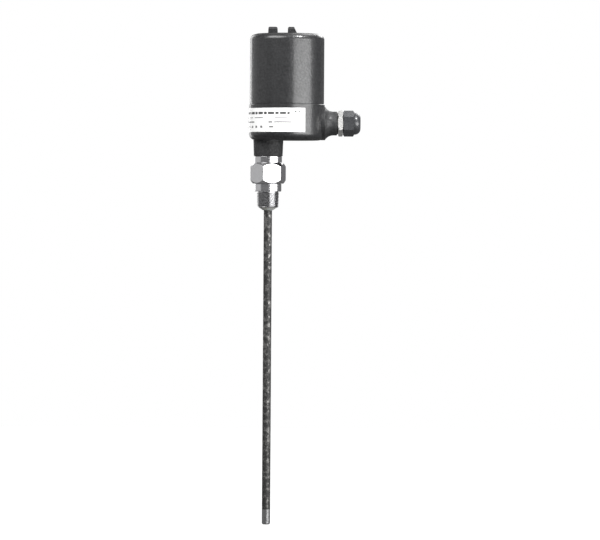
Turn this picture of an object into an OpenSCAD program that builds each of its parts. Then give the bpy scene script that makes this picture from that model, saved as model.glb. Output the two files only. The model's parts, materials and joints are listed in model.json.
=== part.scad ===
// Rod probe level switch: a cast housing with a screw cover, a taper-thread fitting and a long sheathed rod.
// Origin: rod axis, at the shoulder that the taper thread stops against. +Z up, +X towards the cable gland.

/* [Probe] */
// Length from the thread's shoulder down to the tip
insertion_len = 400; // [150:10:1500]
// Outside diameter of the insulating sheath
sheath_d = 10; // [8:0.5:13]
// Diameter of the metal rod inside the sheath
core_d = 6; // [4:0.5:6]
// Length of the bare metal tip
tip_len = 18; // [8:1:40]
// How far the rod stands above the bush that clamps it
rod_stud_len = 15.5; // [14:0.5:17]

/* [Process fitting] */
// Diameter of the taper thread at its shoulder
thread_d = 27.2; // [26.5:0.1:31]
// Length of the taper thread
thread_len = 19; // [12:1:30]
// Diameter of the collar above the thread
lower_collar_d = 32; // [31.5:0.5:37]
// Height of the collar above the thread
lower_collar_h = 9.5; // [4:0.5:14]
// Hexagon across its flats
hex_af = 38; // [36:1:46]
// Height of the hexagon
hex_h = 24.5; // [14:0.5:30]
// Angle that the hexagon stopped at when it was tightened
hex_turn = 14; // [0:1:59]
// Diameter of the collar under the neck
upper_collar_d = 33; // [32:0.5:36]
// Height of the collar under the neck
upper_collar_h = 8.5; // [4:0.5:12]

/* [Housing base] */
// How far the housing axis lies beside the rod axis
housing_offset = 22; // [18:1:23]
// Outside diameter of the base
base_d = 90.6; // [88.5:0.2:96]
// Height of the base, underside to joint line
base_h = 43; // [42:0.5:60]
// Wall thickness of the base
base_wall = 5.3; // [3:0.1:6]
// Thickness of the base floor
floor_t = 6; // [4:0.5:7]
// Radius of the rounded lower edge
base_round = 8; // [4:0.5:10]
// Diameter of the neck where it meets the base
neck_top_d = 36; // [35.5:0.5:38]
// Diameter of the neck at its lower end
neck_low_d = 34.5; // [34:0.5:36]
// Height of the neck
neck_h = 19; // [19:0.5:30]
// Diameter of the threaded bore in the neck
neck_bore_d = 26; // [25:0.5:27]

/* [Cover] */
// Outside diameter of the cover
cover_d = 89; // [88:0.2:94]
// Height of the cover above the joint line, without its lugs
cover_h = 85.5; // [80:0.5:120]
// Wall thickness of the cover above its thread
cover_wall = 5; // [4.6:0.1:5.4]
// Thickness of the roof
roof_t = 5; // [3:0.5:8]
// Radius of the rounded top edge
cover_round = 6.5; // [3:0.5:10]
// How much the roof rises to its middle
dome_rise = 1.8; // [0.5:0.1:4]
// Width of each lug on the roof
lug_w = 10.8; // [6:0.2:12]
// Clear gap between the two lugs
lug_gap = 12.6; // [8:0.2:15]
// Length of the lugs, front to back
lug_len = 26; // [14:1:36]
// Height of the lugs above the roof
lug_h = 7; // [4:0.5:12]
// How far the pair of lugs lies beside the cover axis
lug_shift = -5.5; // [-8:0.5:8]
// Length of the screwed joint between cover and base
spigot_h = 14; // [12:0.5:18]

/* [Cable gland] */
// Diameter of the cable hub on the base
hub_d = 28.6; // [27:0.2:34]
// Diameter of the flare where the hub leaves the base
flare_d = 40.2; // [38:0.2:40.6]
// Distance from the housing axis to the end of the hub
hub_reach = 60.6; // [58:0.2:80]
// Diameter of the entry thread
entry_d = 20; // [18:0.5:22]
// Gland hexagons across their flats
gland_af = 27; // [26:0.5:32]
// Thickness of the bright gland collar
gland_collar_t = 5.6; // [3:0.2:10]
// Length of the gland nut
gland_nut_len = 20.9; // [19:0.1:26]
// Cable that the seal takes
cable_d = 10; // [6:0.5:10]

/* [Nameplate] */
// Height of the plate
plate_h = 28.5; // [12:0.5:30]
// Height of its lower edge above the base underside
plate_rise = 9.5; // [8.5:0.5:12]
// Thickness of the plate
plate_t = 0.6; // [0.3:0.1:1]
// Angle that the plate covers round the base
plate_span = 123.5; // [40:0.5:150]

/* [Electronics] */
// Diameter of the boards
board_d = 68; // [67:0.5:70]
// Thickness of the boards
board_t = 1.6; // [1:0.1:2]
// Height between the chassis plate and the power board
low_gap = 14; // [13:0.5:16]
// Height between the two boards
high_gap = 27.4; // [26:0.2:30]
// Height of the cast posts above the base floor
post_h = 28.5; // [27:0.5:32]

/* [Hidden] */
$fn = 96;
clear = 0.05;
run_gap = 0.3;

// Levels along the rod axis, from the fitting up to the roof
z_hex = lower_collar_h;
z_collar = z_hex + hex_h;
z_neck = z_collar + upper_collar_h;
z_base = z_neck + neck_h;
z_floor = z_base + floor_t;
z_rim = z_base + base_h;
z_spigot = z_rim + spigot_h;
z_cover = z_rim + run_gap;
z_roof = z_rim + cover_h;

// Radii round the housing axis
base_r = base_d / 2;
cavity_r = base_r - base_wall;
cover_r = cover_d / 2;
cover_in_r = cover_r - cover_wall;
thread_step = 1;
skirt_r = cover_in_r + thread_step;
spigot_r = skirt_r - run_gap;
board_r = board_d / 2;
board_gap = 1.2;
mouth_r = board_r + board_gap;
mouth_land = 15.5;
mouth_cone = 5;

// Cover seal, held in the cover's counterbore
seal_cs = 2.2;
seal_bore_r = skirt_r + seal_cs + run_gap;
seal_z = z_cover + clear + seal_cs / 2;

// Process fitting
taper = 1 / 16;
thread_r = thread_d / 2;
thread_end_r = thread_r - thread_len * taper / 2;
thread_chamfer = 1.2;
hex_chamfer = 4.4;
hex_corner_drop = 3.6;
rod_seal_cs = 3;
sheath_r = sheath_d / 2;
core_r = core_d / 2;
fit_bore_r = sheath_r + rod_seal_cs;
fit_stud_h = neck_h - 1.5;
z_fit_top = z_neck + fit_stud_h;
bush_flange_t = 3;
bush_flange_r = neck_bore_d / 2 - 2;
bush_nose_h = 3.5;
bush_nose_r = thread_end_r - 2;
z_tip = -insertion_len;
z_sheath_low = z_tip + tip_len;
tip_wall_end = 5;

// The two rod seals sit half-way up the fitting with a spacer between them
spacer_h = 4;
z_seal_low = z_hex + hex_h / 2 - spacer_h / 2 - rod_seal_cs;
z_seal_high = z_seal_low + rod_seal_cs + spacer_h;
z_bush_high = z_seal_high + rod_seal_cs;
z_clamp = z_fit_top + bush_flange_t;

// Terminal stack on the rod's upper end
clamp_washer_t = 1.5;
clamp_washer_r = 8;
rod_nut_af = 10;
rod_nut_h = 5;
lug_t = 1;
lug_barrel_x = core_r + 3.6;
lug_barrel_z = 1.6;
lug_barrel_len = 4.5;
z_nut_low = z_clamp + clamp_washer_t;
z_lug = z_nut_low + rod_nut_h;
z_nut_high = z_lug + lug_t;
z_rod_top = z_clamp + rod_stud_len;

// Cable hub and gland, along +X
hub_z = z_base + flare_d / 2 + 0.4;
hub_r = hub_d / 2;
flare_r = flare_d / 2;
flare_fillet = 12;
hub_x = housing_offset + hub_reach;
hub_chamfer = 1;
entry_r = entry_d / 2;
washer_t = 1;
gland_x = hub_x + washer_t;
gland_stud_len = 14;
collar_x = gland_x + gland_collar_t;
gland_bore_r = cable_d / 2 + 1.5;
nut_thread_r = entry_r + 1;
nut_thread_len = 11.8;
gland_seal_len = 9.5;
gland_seal_r = nut_thread_r - 2;
thrust_t = 2.4;
nut_x = collar_x + run_gap;
nut_end_x = nut_x + gland_nut_len;
nut_round = 6.8;
nut_mouth_r = cable_d / 2 + 0.5;
gland_seal_x = collar_x + nut_thread_len - gland_seal_len;
thrust_x = collar_x + nut_thread_len + 0.1;
thrust_seat_x = thrust_x + thrust_t + run_gap;

// Posts and chassis, round the housing axis
post_edge = 3;
post_ring_r = board_r - post_edge;
post_angles = [50, 130, 230, 310];
post_r = 4;
post_tap_r = 1.3;
post_tap_h = 11;
post_web_w = 3;
post_web_drop = 8;
z_plate = z_floor + post_h;
plate2_t = 2;
z_plate_top = z_plate + plate2_t;
spacer_edge = 4;
spacer_ring_r = board_r - spacer_edge;
spacer_angles = [25, 155, 205, 335];
spacer_af = 5.5;
spacer_tap_r = 1.3;
spacer_tap_h = 7;
spacer_foot_r = 2;
z_board1 = z_plate_top + low_gap;
z_board1_top = z_board1 + board_t;
z_board2 = z_board1_top + high_gap;
z_board2_top = z_board2 + board_t;
wire_notch_w = 14;
wire_notch_depth = 7;
wire_notch_x = board_r - wire_notch_depth;
bay_r = 5;
lead_hole_x = 4;
lead_hole = [lead_hole_x - housing_offset, 0];
lead_hole_r = 5;
pin_len = 8;

// Screws that hold the chassis and the boards
chassis_screw_grip = 9;
chassis_head_r = 2.8;
board_screw_grip = 5;
board_head_r = 2.75;
small_head_h = 2;

// Liner that stands inside the cover
liner_r = cover_in_r - run_gap;
liner_t = 0.8;
liner_gap = 3;
liner_low = z_spigot + run_gap;
liner_top = z_roof - roof_t - dome_rise - liner_gap;

// Set screw in the cover's skirt, at the back
lock_turn = 135;
lock_r = 2;
lock_rise = 7.2;
lock_z = z_cover + lock_rise;

// Earth screws, one inside on the floor and one outside at the back
earth_in_pos = [0, 29];
earth_in_h = 6;
earth_in_r = 1.65;
earth_in_len = 6;
earth_in_head = [3.8, 2.6];
earth_in_washer = [4.4, 1];
earth_boss_r = 5;
earth_out_rise = 18;
earth_out_z = z_base + earth_out_rise;
earth_out_boss = 3;
earth_out_reach = base_r + earth_out_boss;
earth_out_boss_r = 6;
earth_out_r = 2.1;
earth_out_len = 7;
earth_out_head = [4.5, 3.2];
earth_out_washer = [5.2, 1.2];

// Nameplate, from its right-hand edge round to the left
plate_turn = -61.5;
plate_z = z_base + plate_rise;

// Components on the power board, measured from the housing axis
trafo_pos = [-12, 0];
trafo_w = 28;
trafo_h = 23;
trafo_t = 10;
trafo_leg = 8;
trafo_win_w = 5;
trafo_win_h = 13;
trafo_end = 5;
parts_edge = 11;
parts_x = board_r - parts_edge;
relay_size = [15, 19, 15.5];
relay_pos = [parts_x - relay_size[0], -19.5];
cap_spots = [[9, 9], [20.5, 5], [4, 20.5]];
cap_r = 5;
cap_h = 16;
fuse_y = -22;
fuse_x = -4;
fuse_len = 20;
fuse_r = 2.6;
fuse_lift = 3.6;
clip_w = 5;
link_pos = [-14, 15];
link_size = [10, 5];
pin_pitch = 2.54;
pin_w = 0.64;
link_shroud_h = 8.5;

// Components on the signal board
block_w = 11;
block_h = 11;
block_back_w = 7.5;
block_step_h = 6.8;
block_well_h = 3;
block_pitch = 5.08;
block_ways = 6;
block_pos = [parts_x - block_w, -block_ways * block_pitch / 2];
trim_size = 9.5;
trim_h = 4.8;
trim_r = 3;
trim_recess = 2;
sensitivity_pos = [-9, -15];
delay_pos = [-9, 15];
switch_pos = [-9, 0];
switch_size = [6, 12, 5];
slider_size = [1.8, 3.2, 4];
slider_travel = 3;
slider_slot = 2;
power_lamp_pos = [3, -21];
output_lamp_pos = [3, 21];
lamp_r = 1.5;
lamp_h = 4;
chip_spots = [[-22, 0], [2, -3], [2, 7.5]];
chip_size = [6.4, 9.8, 3.4];

// Route of the lead from the rod's lug up to the power board, chosen by hand, in mm from the rod axis
lead_r = 1.1;
lead_z = z_lug + lug_barrel_z;
lead_points = [
    [lug_barrel_x + 1.8, 0, lead_z],
    [lug_barrel_x + 4.8, 0, lead_z],
    [14, 0, lead_z + 1.4],
    [15.7, 0, lead_z + 4.5],
    [15.4, 0, lead_z + 8.5],
    [12.4, 0, lead_z + 13.5],
    [7.8, 0, lead_z + 17.5],
    [4.9, 0, lead_z + 21.5],
    [4.1, 0, lead_z + 27.5],
    [housing_offset + lead_hole[0], 0, z_board1 - pin_len - 0.2]
];

// Every piece that is modelled, one solid or one set of like fasteners each

// Shared helpers

// Children on the housing axis, at a height
module at_housing(z = 0) {
    translate([housing_offset, 0, z]) children();
}

// Children turned so that their own Z runs along +X, at the height of the cable hub
module along_hub(x = 0) {
    translate([x, 0, hub_z]) rotate([0, 90, 0]) children();
}

// A plain ring that stands on its origin
module ring(outer, inner, h) {
    difference() {
        cylinder(r = outer, h = h);
        translate([0, 0, -1]) cylinder(r = inner, h = h + 2);
    }
}

// A hexagonal prism given across its flats
module hexagon(af, h) {
    cylinder(d = af / cos(30), h = h, $fn = 6);
}

// A hexagonal prism with the corners turned off at both ends
module turned_hexagon(af, h, edge_drop, edge_h) {
    corner_r = af / 2 / cos(30);
    low_r = corner_r - edge_drop;
    intersection() {
        hexagon(af, h);
        rotate_extrude() polygon([
            [0, 0], [low_r, 0], [corner_r, edge_h], [corner_r, h - edge_h], [low_r, h], [0, h]
        ]);
    }
}

// A round section ring
module o_ring(middle, cs) {
    rotate_extrude() translate([middle, 0]) circle(r = cs / 2);
}

// A pan-head screw with a slot: its origin is under the head
module pan_screw(shank_r, shank_len, head_r, head_h) {
    difference() {
        union() {
            translate([0, 0, -shank_len]) cylinder(r = shank_r, h = shank_len);
            rotate_extrude() pan_head_outline(head_r, head_h);
        }
        translate([-head_r - 1, -head_r / 8, head_h * 0.55]) cube([2 * head_r + 2, head_r / 4, head_h]);
    }
}

// Half section of a pan head, with its top edge rounded
module pan_head_outline(head_r, head_h) {
    round_r = head_h / 2;
    square([head_r, head_h - round_r]);
    square([head_r - round_r, head_h]);
    translate([head_r - round_r, head_h - round_r]) circle(r = round_r);
}

// Children repeated round the housing axis
module around(angles, radius) {
    for (a = angles) {
        rotate([0, 0, a]) translate([radius, 0, 0]) children();
    }
}

// Housing base

// Half section of the outside of the base, up to the joint line
module base_outline() {
    edge = 0.6;
    difference() {
        union() {
            translate([0, z_base + base_round]) square([base_r, base_h - base_round]);
            translate([0, z_base]) square([base_r - base_round, base_h]);
            translate([base_r - base_round, z_base + base_round]) circle(r = base_round);
        }
        polygon([
            [base_r - edge, z_rim + 0.01], [base_r + 0.01, z_rim - edge], [base_r + 1, z_rim - edge],
            [base_r + 1, z_rim + 1], [base_r - edge, z_rim + 1]
        ]);
    }
}

// Half section of the room inside the base, narrower where the cover screws on
module cavity_outline() {
    z_step = z_spigot - mouth_land - mouth_cone;
    corner = 3;
    translate([0, z_floor + corner]) square([cavity_r, z_step - z_floor - corner]);
    translate([0, z_floor]) square([cavity_r - corner, corner + 1]);
    translate([cavity_r - corner, z_floor + corner]) circle(r = corner);
    polygon([
        [0, z_step], [cavity_r, z_step], [mouth_r, z_step + mouth_cone],
        [mouth_r, z_spigot + 1], [0, z_spigot + 1]
    ]);
}

// Half section of the hub: a straight end with a concave flare into the base
module hub_outline() {
    flare_x = hub_x - 4.6;
    polygon([[0, 0], [hub_r, 0], [hub_r, hub_x - hub_chamfer], [hub_r - hub_chamfer, hub_x], [0, hub_x]]);
    difference() {
        square([flare_r, flare_x]);
        translate([hub_r + flare_fillet, flare_x]) circle(r = flare_fillet);
    }
}

module housing_base() {
    color("#4a4b4d") difference() {
        union() {
            difference() {
                union() {
                    at_housing() rotate_extrude() base_outline();
                    at_housing(z_rim - 1) cylinder(r = spigot_r, h = spigot_h + 1);
                    translate([0, 0, z_neck])
                        cylinder(r1 = neck_low_d / 2, r2 = neck_top_d / 2, h = neck_h + 1);
                    translate([0, 0, hub_z]) rotate([0, 90, 0]) difference() {
                        rotate_extrude() hub_outline();
                        translate([0, 0, -1]) cylinder(r = flare_r + 1, h = housing_offset + 21);
                    }
                    at_housing(earth_out_z) rotate([-90, 0, 0])
                        cylinder(r = earth_out_boss_r, h = earth_out_reach);
                }
                at_housing() rotate_extrude() cavity_outline();
            }
            at_housing(z_floor - 1) around(post_angles, post_ring_r) post();
            at_housing(z_floor - 1) translate(earth_in_pos) cylinder(r = earth_boss_r, h = earth_in_h + 1);
        }
        translate([0, 0, z_neck - 1]) cylinder(r = neck_bore_d / 2, h = neck_h + floor_t + 2);
        along_hub(housing_offset) cylinder(r = entry_r, h = hub_reach + 1);
        at_housing(z_plate - post_tap_h) around(post_angles, post_ring_r)
            cylinder(r = post_tap_r, h = post_tap_h + 1);
        at_housing(z_floor) translate(earth_in_pos) cylinder(r = earth_in_r, h = earth_in_h + 1);
        at_housing(earth_out_z) rotate([-90, 0, 0]) translate([0, 0, earth_out_reach - earth_out_len + 0.5])
            cylinder(r = earth_out_r, h = earth_out_len);
    }
}

// One cast post, with a web that ties it to the wall behind
module post() {
    cylinder(r = post_r, h = post_h + 1);
    translate([0, -post_web_w / 2, 0])
        cube([cavity_r - post_ring_r + 1, post_web_w, post_h - post_web_drop]);
}

module nameplate() {
    color("#f2f2f0") at_housing(plate_z) rotate([0, 0, plate_turn - plate_span])
        rotate_extrude(angle = plate_span) translate([base_r + clear, 0]) square([plate_t, plate_h]);
}

module outer_earth_screw() {
    color("#c8c9cb") at_housing(earth_out_z) rotate([-90, 0, 0])
        translate([0, 0, earth_out_reach + earth_out_washer[1]])
            pan_screw(earth_out_r - clear, earth_out_len, earth_out_head[0], earth_out_head[1]);
}

module outer_earth_washer() {
    color("#b9babd") at_housing(earth_out_z) rotate([-90, 0, 0])
        translate([0, 0, earth_out_reach])
            ring(earth_out_washer[0], earth_out_r + 2 * clear, earth_out_washer[1]);
}

module inner_earth_screw() {
    color("#c8c9cb") at_housing(z_floor + earth_in_h + earth_in_washer[1]) translate(earth_in_pos)
        pan_screw(earth_in_r - clear, earth_in_len, earth_in_head[0], earth_in_head[1]);
}

module inner_earth_washer() {
    color("#b9babd") at_housing(z_floor + earth_in_h) translate(earth_in_pos)
        ring(earth_in_washer[0], earth_in_r + 2 * clear, earth_in_washer[1]);
}

// Cover

// Half section of the solid that the cover is bored from
module cover_outline() {
    dome_r = (cover_r * cover_r + dome_rise * dome_rise) / (2 * dome_rise);
    shoulder = cover_r - cover_round;
    translate([0, z_cover + 0.6]) square([cover_r, cover_h - run_gap - 0.6 - dome_rise - cover_round]);
    translate([0, z_cover]) square([cover_r - 0.6, 1]);
    translate([shoulder, z_roof - dome_rise - cover_round]) circle(r = cover_round);
    intersection() {
        translate([0, z_rim + 10]) square([shoulder, cover_h]);
        translate([0, z_roof - dome_r]) circle(r = dome_r, $fn = 360);
    }
}

// Half section of the cover's inside, from the seal's counterbore up to the roof
module cover_bore_outline() {
    corner = 4;
    top = z_roof - roof_t - dome_rise;
    translate([0, z_cover - 1]) square([seal_bore_r, 1 + seal_cs + run_gap]);
    translate([0, z_cover]) square([skirt_r, spigot_h + 0.7]);
    translate([0, z_cover]) square([cover_in_r, top - corner - z_cover]);
    translate([0, z_cover]) square([cover_in_r - corner, top - z_cover]);
    translate([cover_in_r - corner, top - corner]) circle(r = corner);
}

// Front outline of the pair of lugs, the right-hand one sloped on its outer side
module lug_pair_front() {
    root = dome_rise + 2;
    draft = 0.5;
    slope = 3.6;
    half = lug_gap / 2;
    polygon([
        [-half - lug_w - draft, -root], [-half - lug_w, lug_h - 1.2], [-half - lug_w + 1.2, lug_h],
        [-half - 1.2, lug_h], [-half, lug_h - 1.2], [-half + draft, -root]
    ]);
    polygon([
        [half - draft, -root], [half, lug_h - 1.2], [half + 1.2, lug_h],
        [half + lug_w - slope, lug_h], [half + lug_w + 1.5, -root]
    ]);
}

// Side outline of the lugs, rounded at both ends of their top
module lug_side() {
    round_r = 3;
    half = lug_len / 2;
    for (s = [-1, 1]) {
        translate([s * (half - round_r), lug_h - round_r]) circle(r = round_r);
    }
    translate([-half, -6]) square([lug_len, lug_h + 6 - round_r]);
    translate([-half + round_r, -6]) square([lug_len - 2 * round_r, lug_h + 6]);
}

module lugs() {
    intersection() {
        translate([0, lug_len, 0]) rotate([90, 0, 0]) linear_extrude(2 * lug_len) lug_pair_front();
        translate([-lug_gap - 2 * lug_w, 0, 0]) rotate([90, 0, 90])
            linear_extrude(2 * lug_gap + 4 * lug_w) lug_side();
    }
}

module cover() {
    color("#47484a") at_housing() difference() {
        union() {
            rotate_extrude() difference() {
                cover_outline();
                cover_bore_outline();
            }
            translate([lug_shift, 0, z_roof]) lugs();
        }
        rotate([0, 0, lock_turn]) translate([skirt_r - 1, 0, lock_z]) rotate([0, 90, 0])
            cylinder(r = lock_r, h = cover_r - skirt_r + 2);
    }
}

module cover_lock_screw() {
    socket_af = 2;
    len = cover_r - skirt_r - 0.6;
    color("#8d8f92") at_housing()
        rotate([0, 0, lock_turn]) translate([skirt_r + 0.3, 0, lock_z]) rotate([0, 90, 0])
        difference() {
            cylinder(r = lock_r - clear, h = len);
            translate([0, 0, len - 1.8]) hexagon(socket_af, 3);
        }
}

module insulating_liner() {
    color("#d8cda6") at_housing(liner_low) ring(liner_r, liner_r - liner_t, liner_top - liner_low);
}

module cover_seal() {
    color("#202123") at_housing(seal_z) o_ring(skirt_r + seal_cs / 2, seal_cs);
}

// Cable gland

module gland_washer() {
    color("#2b2b2b") along_hub(hub_x) ring(hub_r - 1.6, entry_r + 0.1, washer_t);
}

// Half section of the gland body's round parts
module gland_body_round() {
    translate([0, gland_x - gland_stud_len]) square([entry_r - clear, gland_stud_len + 1]);
    translate([0, gland_x]) square([nut_thread_r, gland_collar_t + nut_thread_len]);
}

module gland_body() {
    color("#d7d9db") along_hub() difference() {
        union() {
            rotate_extrude() gland_body_round();
            translate([0, 0, gland_x]) turned_hexagon(gland_af, gland_collar_t, 1.6, 0.8);
        }
        cylinder(r = gland_bore_r, h = nut_end_x);
        translate([0, 0, gland_seal_x - 0.1]) cylinder(r = gland_seal_r + 0.1, h = nut_end_x);
    }
}

module gland_seal() {
    color("#1f1f20") along_hub(gland_seal_x) ring(gland_seal_r, cable_d / 2, gland_seal_len);
}

module gland_thrust_ring() {
    color("#c9b26a") along_hub(thrust_x) ring(nut_thread_r - 0.4, nut_mouth_r, thrust_t);
}

// Half section of the nut's domed end, up to its mouth
module gland_dome_outline() {
    dome_r = gland_af / 2 - 0.3;
    translate([0, nut_x]) difference() {
        square([dome_r, gland_nut_len]);
        translate([dome_r - nut_round, gland_nut_len - nut_round]) difference() {
            square(nut_round + 1);
            circle(r = nut_round);
        }
    }
}

module gland_nut() {
    grip_len = gland_nut_len - nut_round - 0.8;
    color("#333436") along_hub() difference() {
        union() {
            translate([0, 0, nut_x]) turned_hexagon(gland_af, grip_len, 2.2, 1.3);
            rotate_extrude() gland_dome_outline();
        }
        translate([0, 0, nut_x - 1]) cylinder(r = nut_thread_r + run_gap, h = thrust_seat_x - nut_x + 1);
        cylinder(r = nut_mouth_r, h = nut_end_x + 1);
    }
}

// Process fitting and probe

module process_fitting() {
    color("#c4c6c9") difference() {
        union() {
            rotate_extrude() polygon([
                [0, -thread_len], [thread_end_r - thread_chamfer, -thread_len],
                [thread_end_r, thread_chamfer - thread_len], [thread_r, 0], [0, 0]
            ]);
            rotate_extrude() collar_outline(lower_collar_d / 2, lower_collar_h, 0);
            translate([0, 0, z_hex]) rotate([0, 0, hex_turn])
                turned_hexagon(hex_af, hex_h, hex_corner_drop, hex_chamfer);
            rotate_extrude() collar_outline(upper_collar_d / 2, upper_collar_h, z_collar);
            translate([0, 0, z_neck - 1]) cylinder(r = neck_bore_d / 2 - clear, h = fit_stud_h + 1);
        }
        translate([0, 0, -thread_len - 1]) cylinder(r = fit_bore_r, h = thread_len + z_fit_top + 2);
        translate([0, 0, z_neck]) mirror([0, 0, 1]) neck_groove();
    }
}

// Half section of a turned collar with small edge breaks
module collar_outline(r, h, z) {
    edge = 0.7;
    translate([0, z]) polygon([
        [0, 0], [r - edge, 0], [r, edge], [r, h - edge], [r - edge, h], [0, h]
    ]);
}

// Face groove that holds the seal between the fitting and the neck
module neck_groove() {
    translate([0, 0, -1]) ring(neck_bore_d / 2 + 2.3, neck_bore_d / 2 + 0.3, 2.6);
}

module neck_seal() {
    cs = 1.5;
    color("#202123") translate([0, 0, z_neck - cs / 2 - 0.02]) o_ring(neck_bore_d / 2 + 1.3, cs);
}

module lower_bush() {
    color("#e9e7df") difference() {
        union() {
            translate([0, 0, -thread_len]) cylinder(r = fit_bore_r - clear, h = thread_len + z_seal_low);
            translate([0, 0, -thread_len - bush_nose_h])
                cylinder(r1 = sheath_r + 0.9, r2 = bush_nose_r, h = bush_nose_h);
        }
        translate([0, 0, -thread_len - bush_nose_h - 1])
            cylinder(r = sheath_r + clear, h = thread_len + bush_nose_h + z_seal_low + 2);
    }
}

module upper_bush() {
    color("#e9e7df") difference() {
        union() {
            translate([0, 0, z_bush_high]) cylinder(r = fit_bore_r - clear, h = z_clamp - z_bush_high);
            translate([0, 0, z_fit_top]) cylinder(r = bush_flange_r, h = bush_flange_t);
        }
        translate([0, 0, z_bush_high - 1]) cylinder(r = sheath_r + clear, h = z_clamp - z_bush_high + 2);
    }
}

module rod_seals() {
    middle = sheath_r + rod_seal_cs / 2;
    color("#202123") for (z = [z_seal_low, z_seal_high]) {
        translate([0, 0, z + rod_seal_cs / 2]) o_ring(middle, rod_seal_cs - 0.1);
    }
}

module seal_spacer() {
    color("#b9babd") translate([0, 0, z_seal_low + rod_seal_cs])
        ring(fit_bore_r - clear, sheath_r + clear, spacer_h);
}

module probe_rod() {
    edge = 0.6;
    color("#c4c6c9") rotate_extrude() polygon([
        [0, z_tip + tip_wall_end], [core_r, z_tip + tip_wall_end], [core_r, z_rod_top - edge],
        [core_r - edge, z_rod_top], [0, z_rod_top]
    ]);
}

module probe_sheath() {
    color("#55534e") translate([0, 0, z_sheath_low]) ring(sheath_r, core_r + clear, z_clamp - z_sheath_low);
}

module probe_tip() {
    edge = 1;
    color("#d3d5d7") difference() {
        rotate_extrude() polygon([
            [0, z_tip], [sheath_r - edge, z_tip], [sheath_r, z_tip + edge],
            [sheath_r, z_sheath_low], [0, z_sheath_low]
        ]);
        translate([0, 0, z_tip + tip_wall_end]) cylinder(r = core_r + clear, h = tip_len);
    }
}

module clamp_washer() {
    color("#b9babd") translate([0, 0, z_clamp]) ring(clamp_washer_r, core_r + 0.1, clamp_washer_t);
}

module rod_nuts() {
    color("#c8c9cb") for (z = [z_nut_low, z_nut_high]) {
        translate([0, 0, z]) rod_nut();
    }
}

// One nut, bored to pass over the rod
module rod_nut() {
    difference() {
        turned_hexagon(rod_nut_af, rod_nut_h, 1, 0.5);
        translate([0, 0, -1]) cylinder(r = core_r + clear, h = rod_nut_h + 2);
    }
}

// Flat ring terminal with a crimped barrel that holds the lead
module probe_lug() {
    ring_r = core_r + 2.6;
    color("#c9b26a") translate([0, 0, z_lug]) difference() {
        union() {
            cylinder(r = ring_r, h = lug_t);
            translate([0, -1.8, 0]) cube([lug_barrel_x + 1, 3.6, lug_t]);
            translate([lug_barrel_x, 0, lug_barrel_z]) rotate([0, 90, 0])
                cylinder(r = 1.7, h = lug_barrel_len);
        }
        translate([0, 0, -1]) cylinder(r = core_r + 0.1, h = lug_t + 2);
        translate([lug_barrel_x + 1.5, 0, lug_barrel_z]) rotate([0, 90, 0])
            cylinder(r = lead_r + clear, h = lug_barrel_len);
    }
}

// Sweep of a round section along a list of points in the plane y = 0
function unit(v) = v / norm(v);
function tangent(p, i) = unit(p[min(i + 1, len(p) - 1)] - p[max(i - 1, 0)]);
function ring_points(p, i, r, sides) = [
    for (k = [0 : sides - 1])
        let (a = 360 * k / sides, t = tangent(p, i), n = [t[2], 0, -t[0]])
        p[i] + r * (cos(a) * n + sin(a) * [0, 1, 0])
];
function side_faces(rings, sides) = [
    for (i = [0 : rings - 2], k = [0 : sides - 1])
        [i * sides + k, i * sides + (k + 1) % sides, (i + 1) * sides + (k + 1) % sides, (i + 1) * sides + k]
];

module sweep(p, r, sides) {
    rings = len(p);
    points = [for (i = [0 : rings - 1]) each ring_points(p, i, r, sides)];
    first = [for (k = [sides - 1 : -1 : 0]) k];
    last = [for (k = [0 : sides - 1]) (rings - 1) * sides + k];
    polyhedron(points, concat([first], side_faces(rings, sides), [last]));
}

module probe_lead() {
    color("#a8442e") sweep(lead_points, lead_r, 8);
}

// Chassis and boards

// A round plate with the notches and holes that the chassis and both boards share
module board_blank(t, spacer_hole_r) {
    difference() {
        cylinder(r = board_r, h = t);
        translate([wire_notch_x, -wire_notch_w / 2, -1]) cube([board_r, wire_notch_w, t + 2]);
        translate([0, 0, -1]) around(spacer_angles, spacer_ring_r) cylinder(r = spacer_hole_r, h = t + 2);
    }
}

module chassis_plate() {
    color("#b4b6b9") at_housing(z_plate) difference() {
        board_blank(plate2_t, spacer_foot_r);
        translate([0, 0, -1]) around(post_angles, post_ring_r)
            cylinder(r = post_tap_r + 0.4, h = plate2_t + 2);
        translate([lead_hole[0], lead_hole[1], -1]) cylinder(r = lead_hole_r, h = plate2_t + 2);
    }
}

module chassis_screws() {
    color("#c8c9cb") at_housing(z_plate_top) around(post_angles, post_ring_r)
        pan_screw(post_tap_r - clear, plate2_t + chassis_screw_grip, chassis_head_r, small_head_h);
}

module lead_grommet() {
    lip = 1.5;
    flange_r = lead_hole_r + 1.5;
    color("#1f1f20") at_housing(z_plate) translate(lead_hole) rotate_extrude() difference() {
        union() {
            translate([0, -lip]) square([flange_r, lip]);
            square([lead_hole_r - clear, plate2_t]);
            translate([0, plate2_t]) square([flange_r, lip]);
        }
        translate([0, -lip - 1]) square([lead_r + 1.2, plate2_t + 2 * lip + 2]);
    }
}

module lower_spacers() {
    color("#c9b26a") at_housing(z_plate_top) around(spacer_angles, spacer_ring_r) difference() {
        union() {
            hexagon(spacer_af, low_gap);
            translate([0, 0, -plate2_t]) cylinder(r = spacer_foot_r - clear, h = plate2_t + 1);
        }
        translate([0, 0, low_gap - spacer_tap_h]) cylinder(r = spacer_tap_r, h = spacer_tap_h + 1);
    }
}

module upper_spacers() {
    stud_len = spacer_tap_h - 1;
    color("#c9b26a") at_housing(z_board1_top) around(spacer_angles, spacer_ring_r) difference() {
        union() {
            hexagon(spacer_af, high_gap);
            translate([0, 0, -board_t - stud_len])
                cylinder(r = spacer_tap_r - clear, h = board_t + stud_len + 1);
        }
        translate([0, 0, high_gap - spacer_tap_h]) cylinder(r = spacer_tap_r, h = spacer_tap_h + 1);
    }
}

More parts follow.
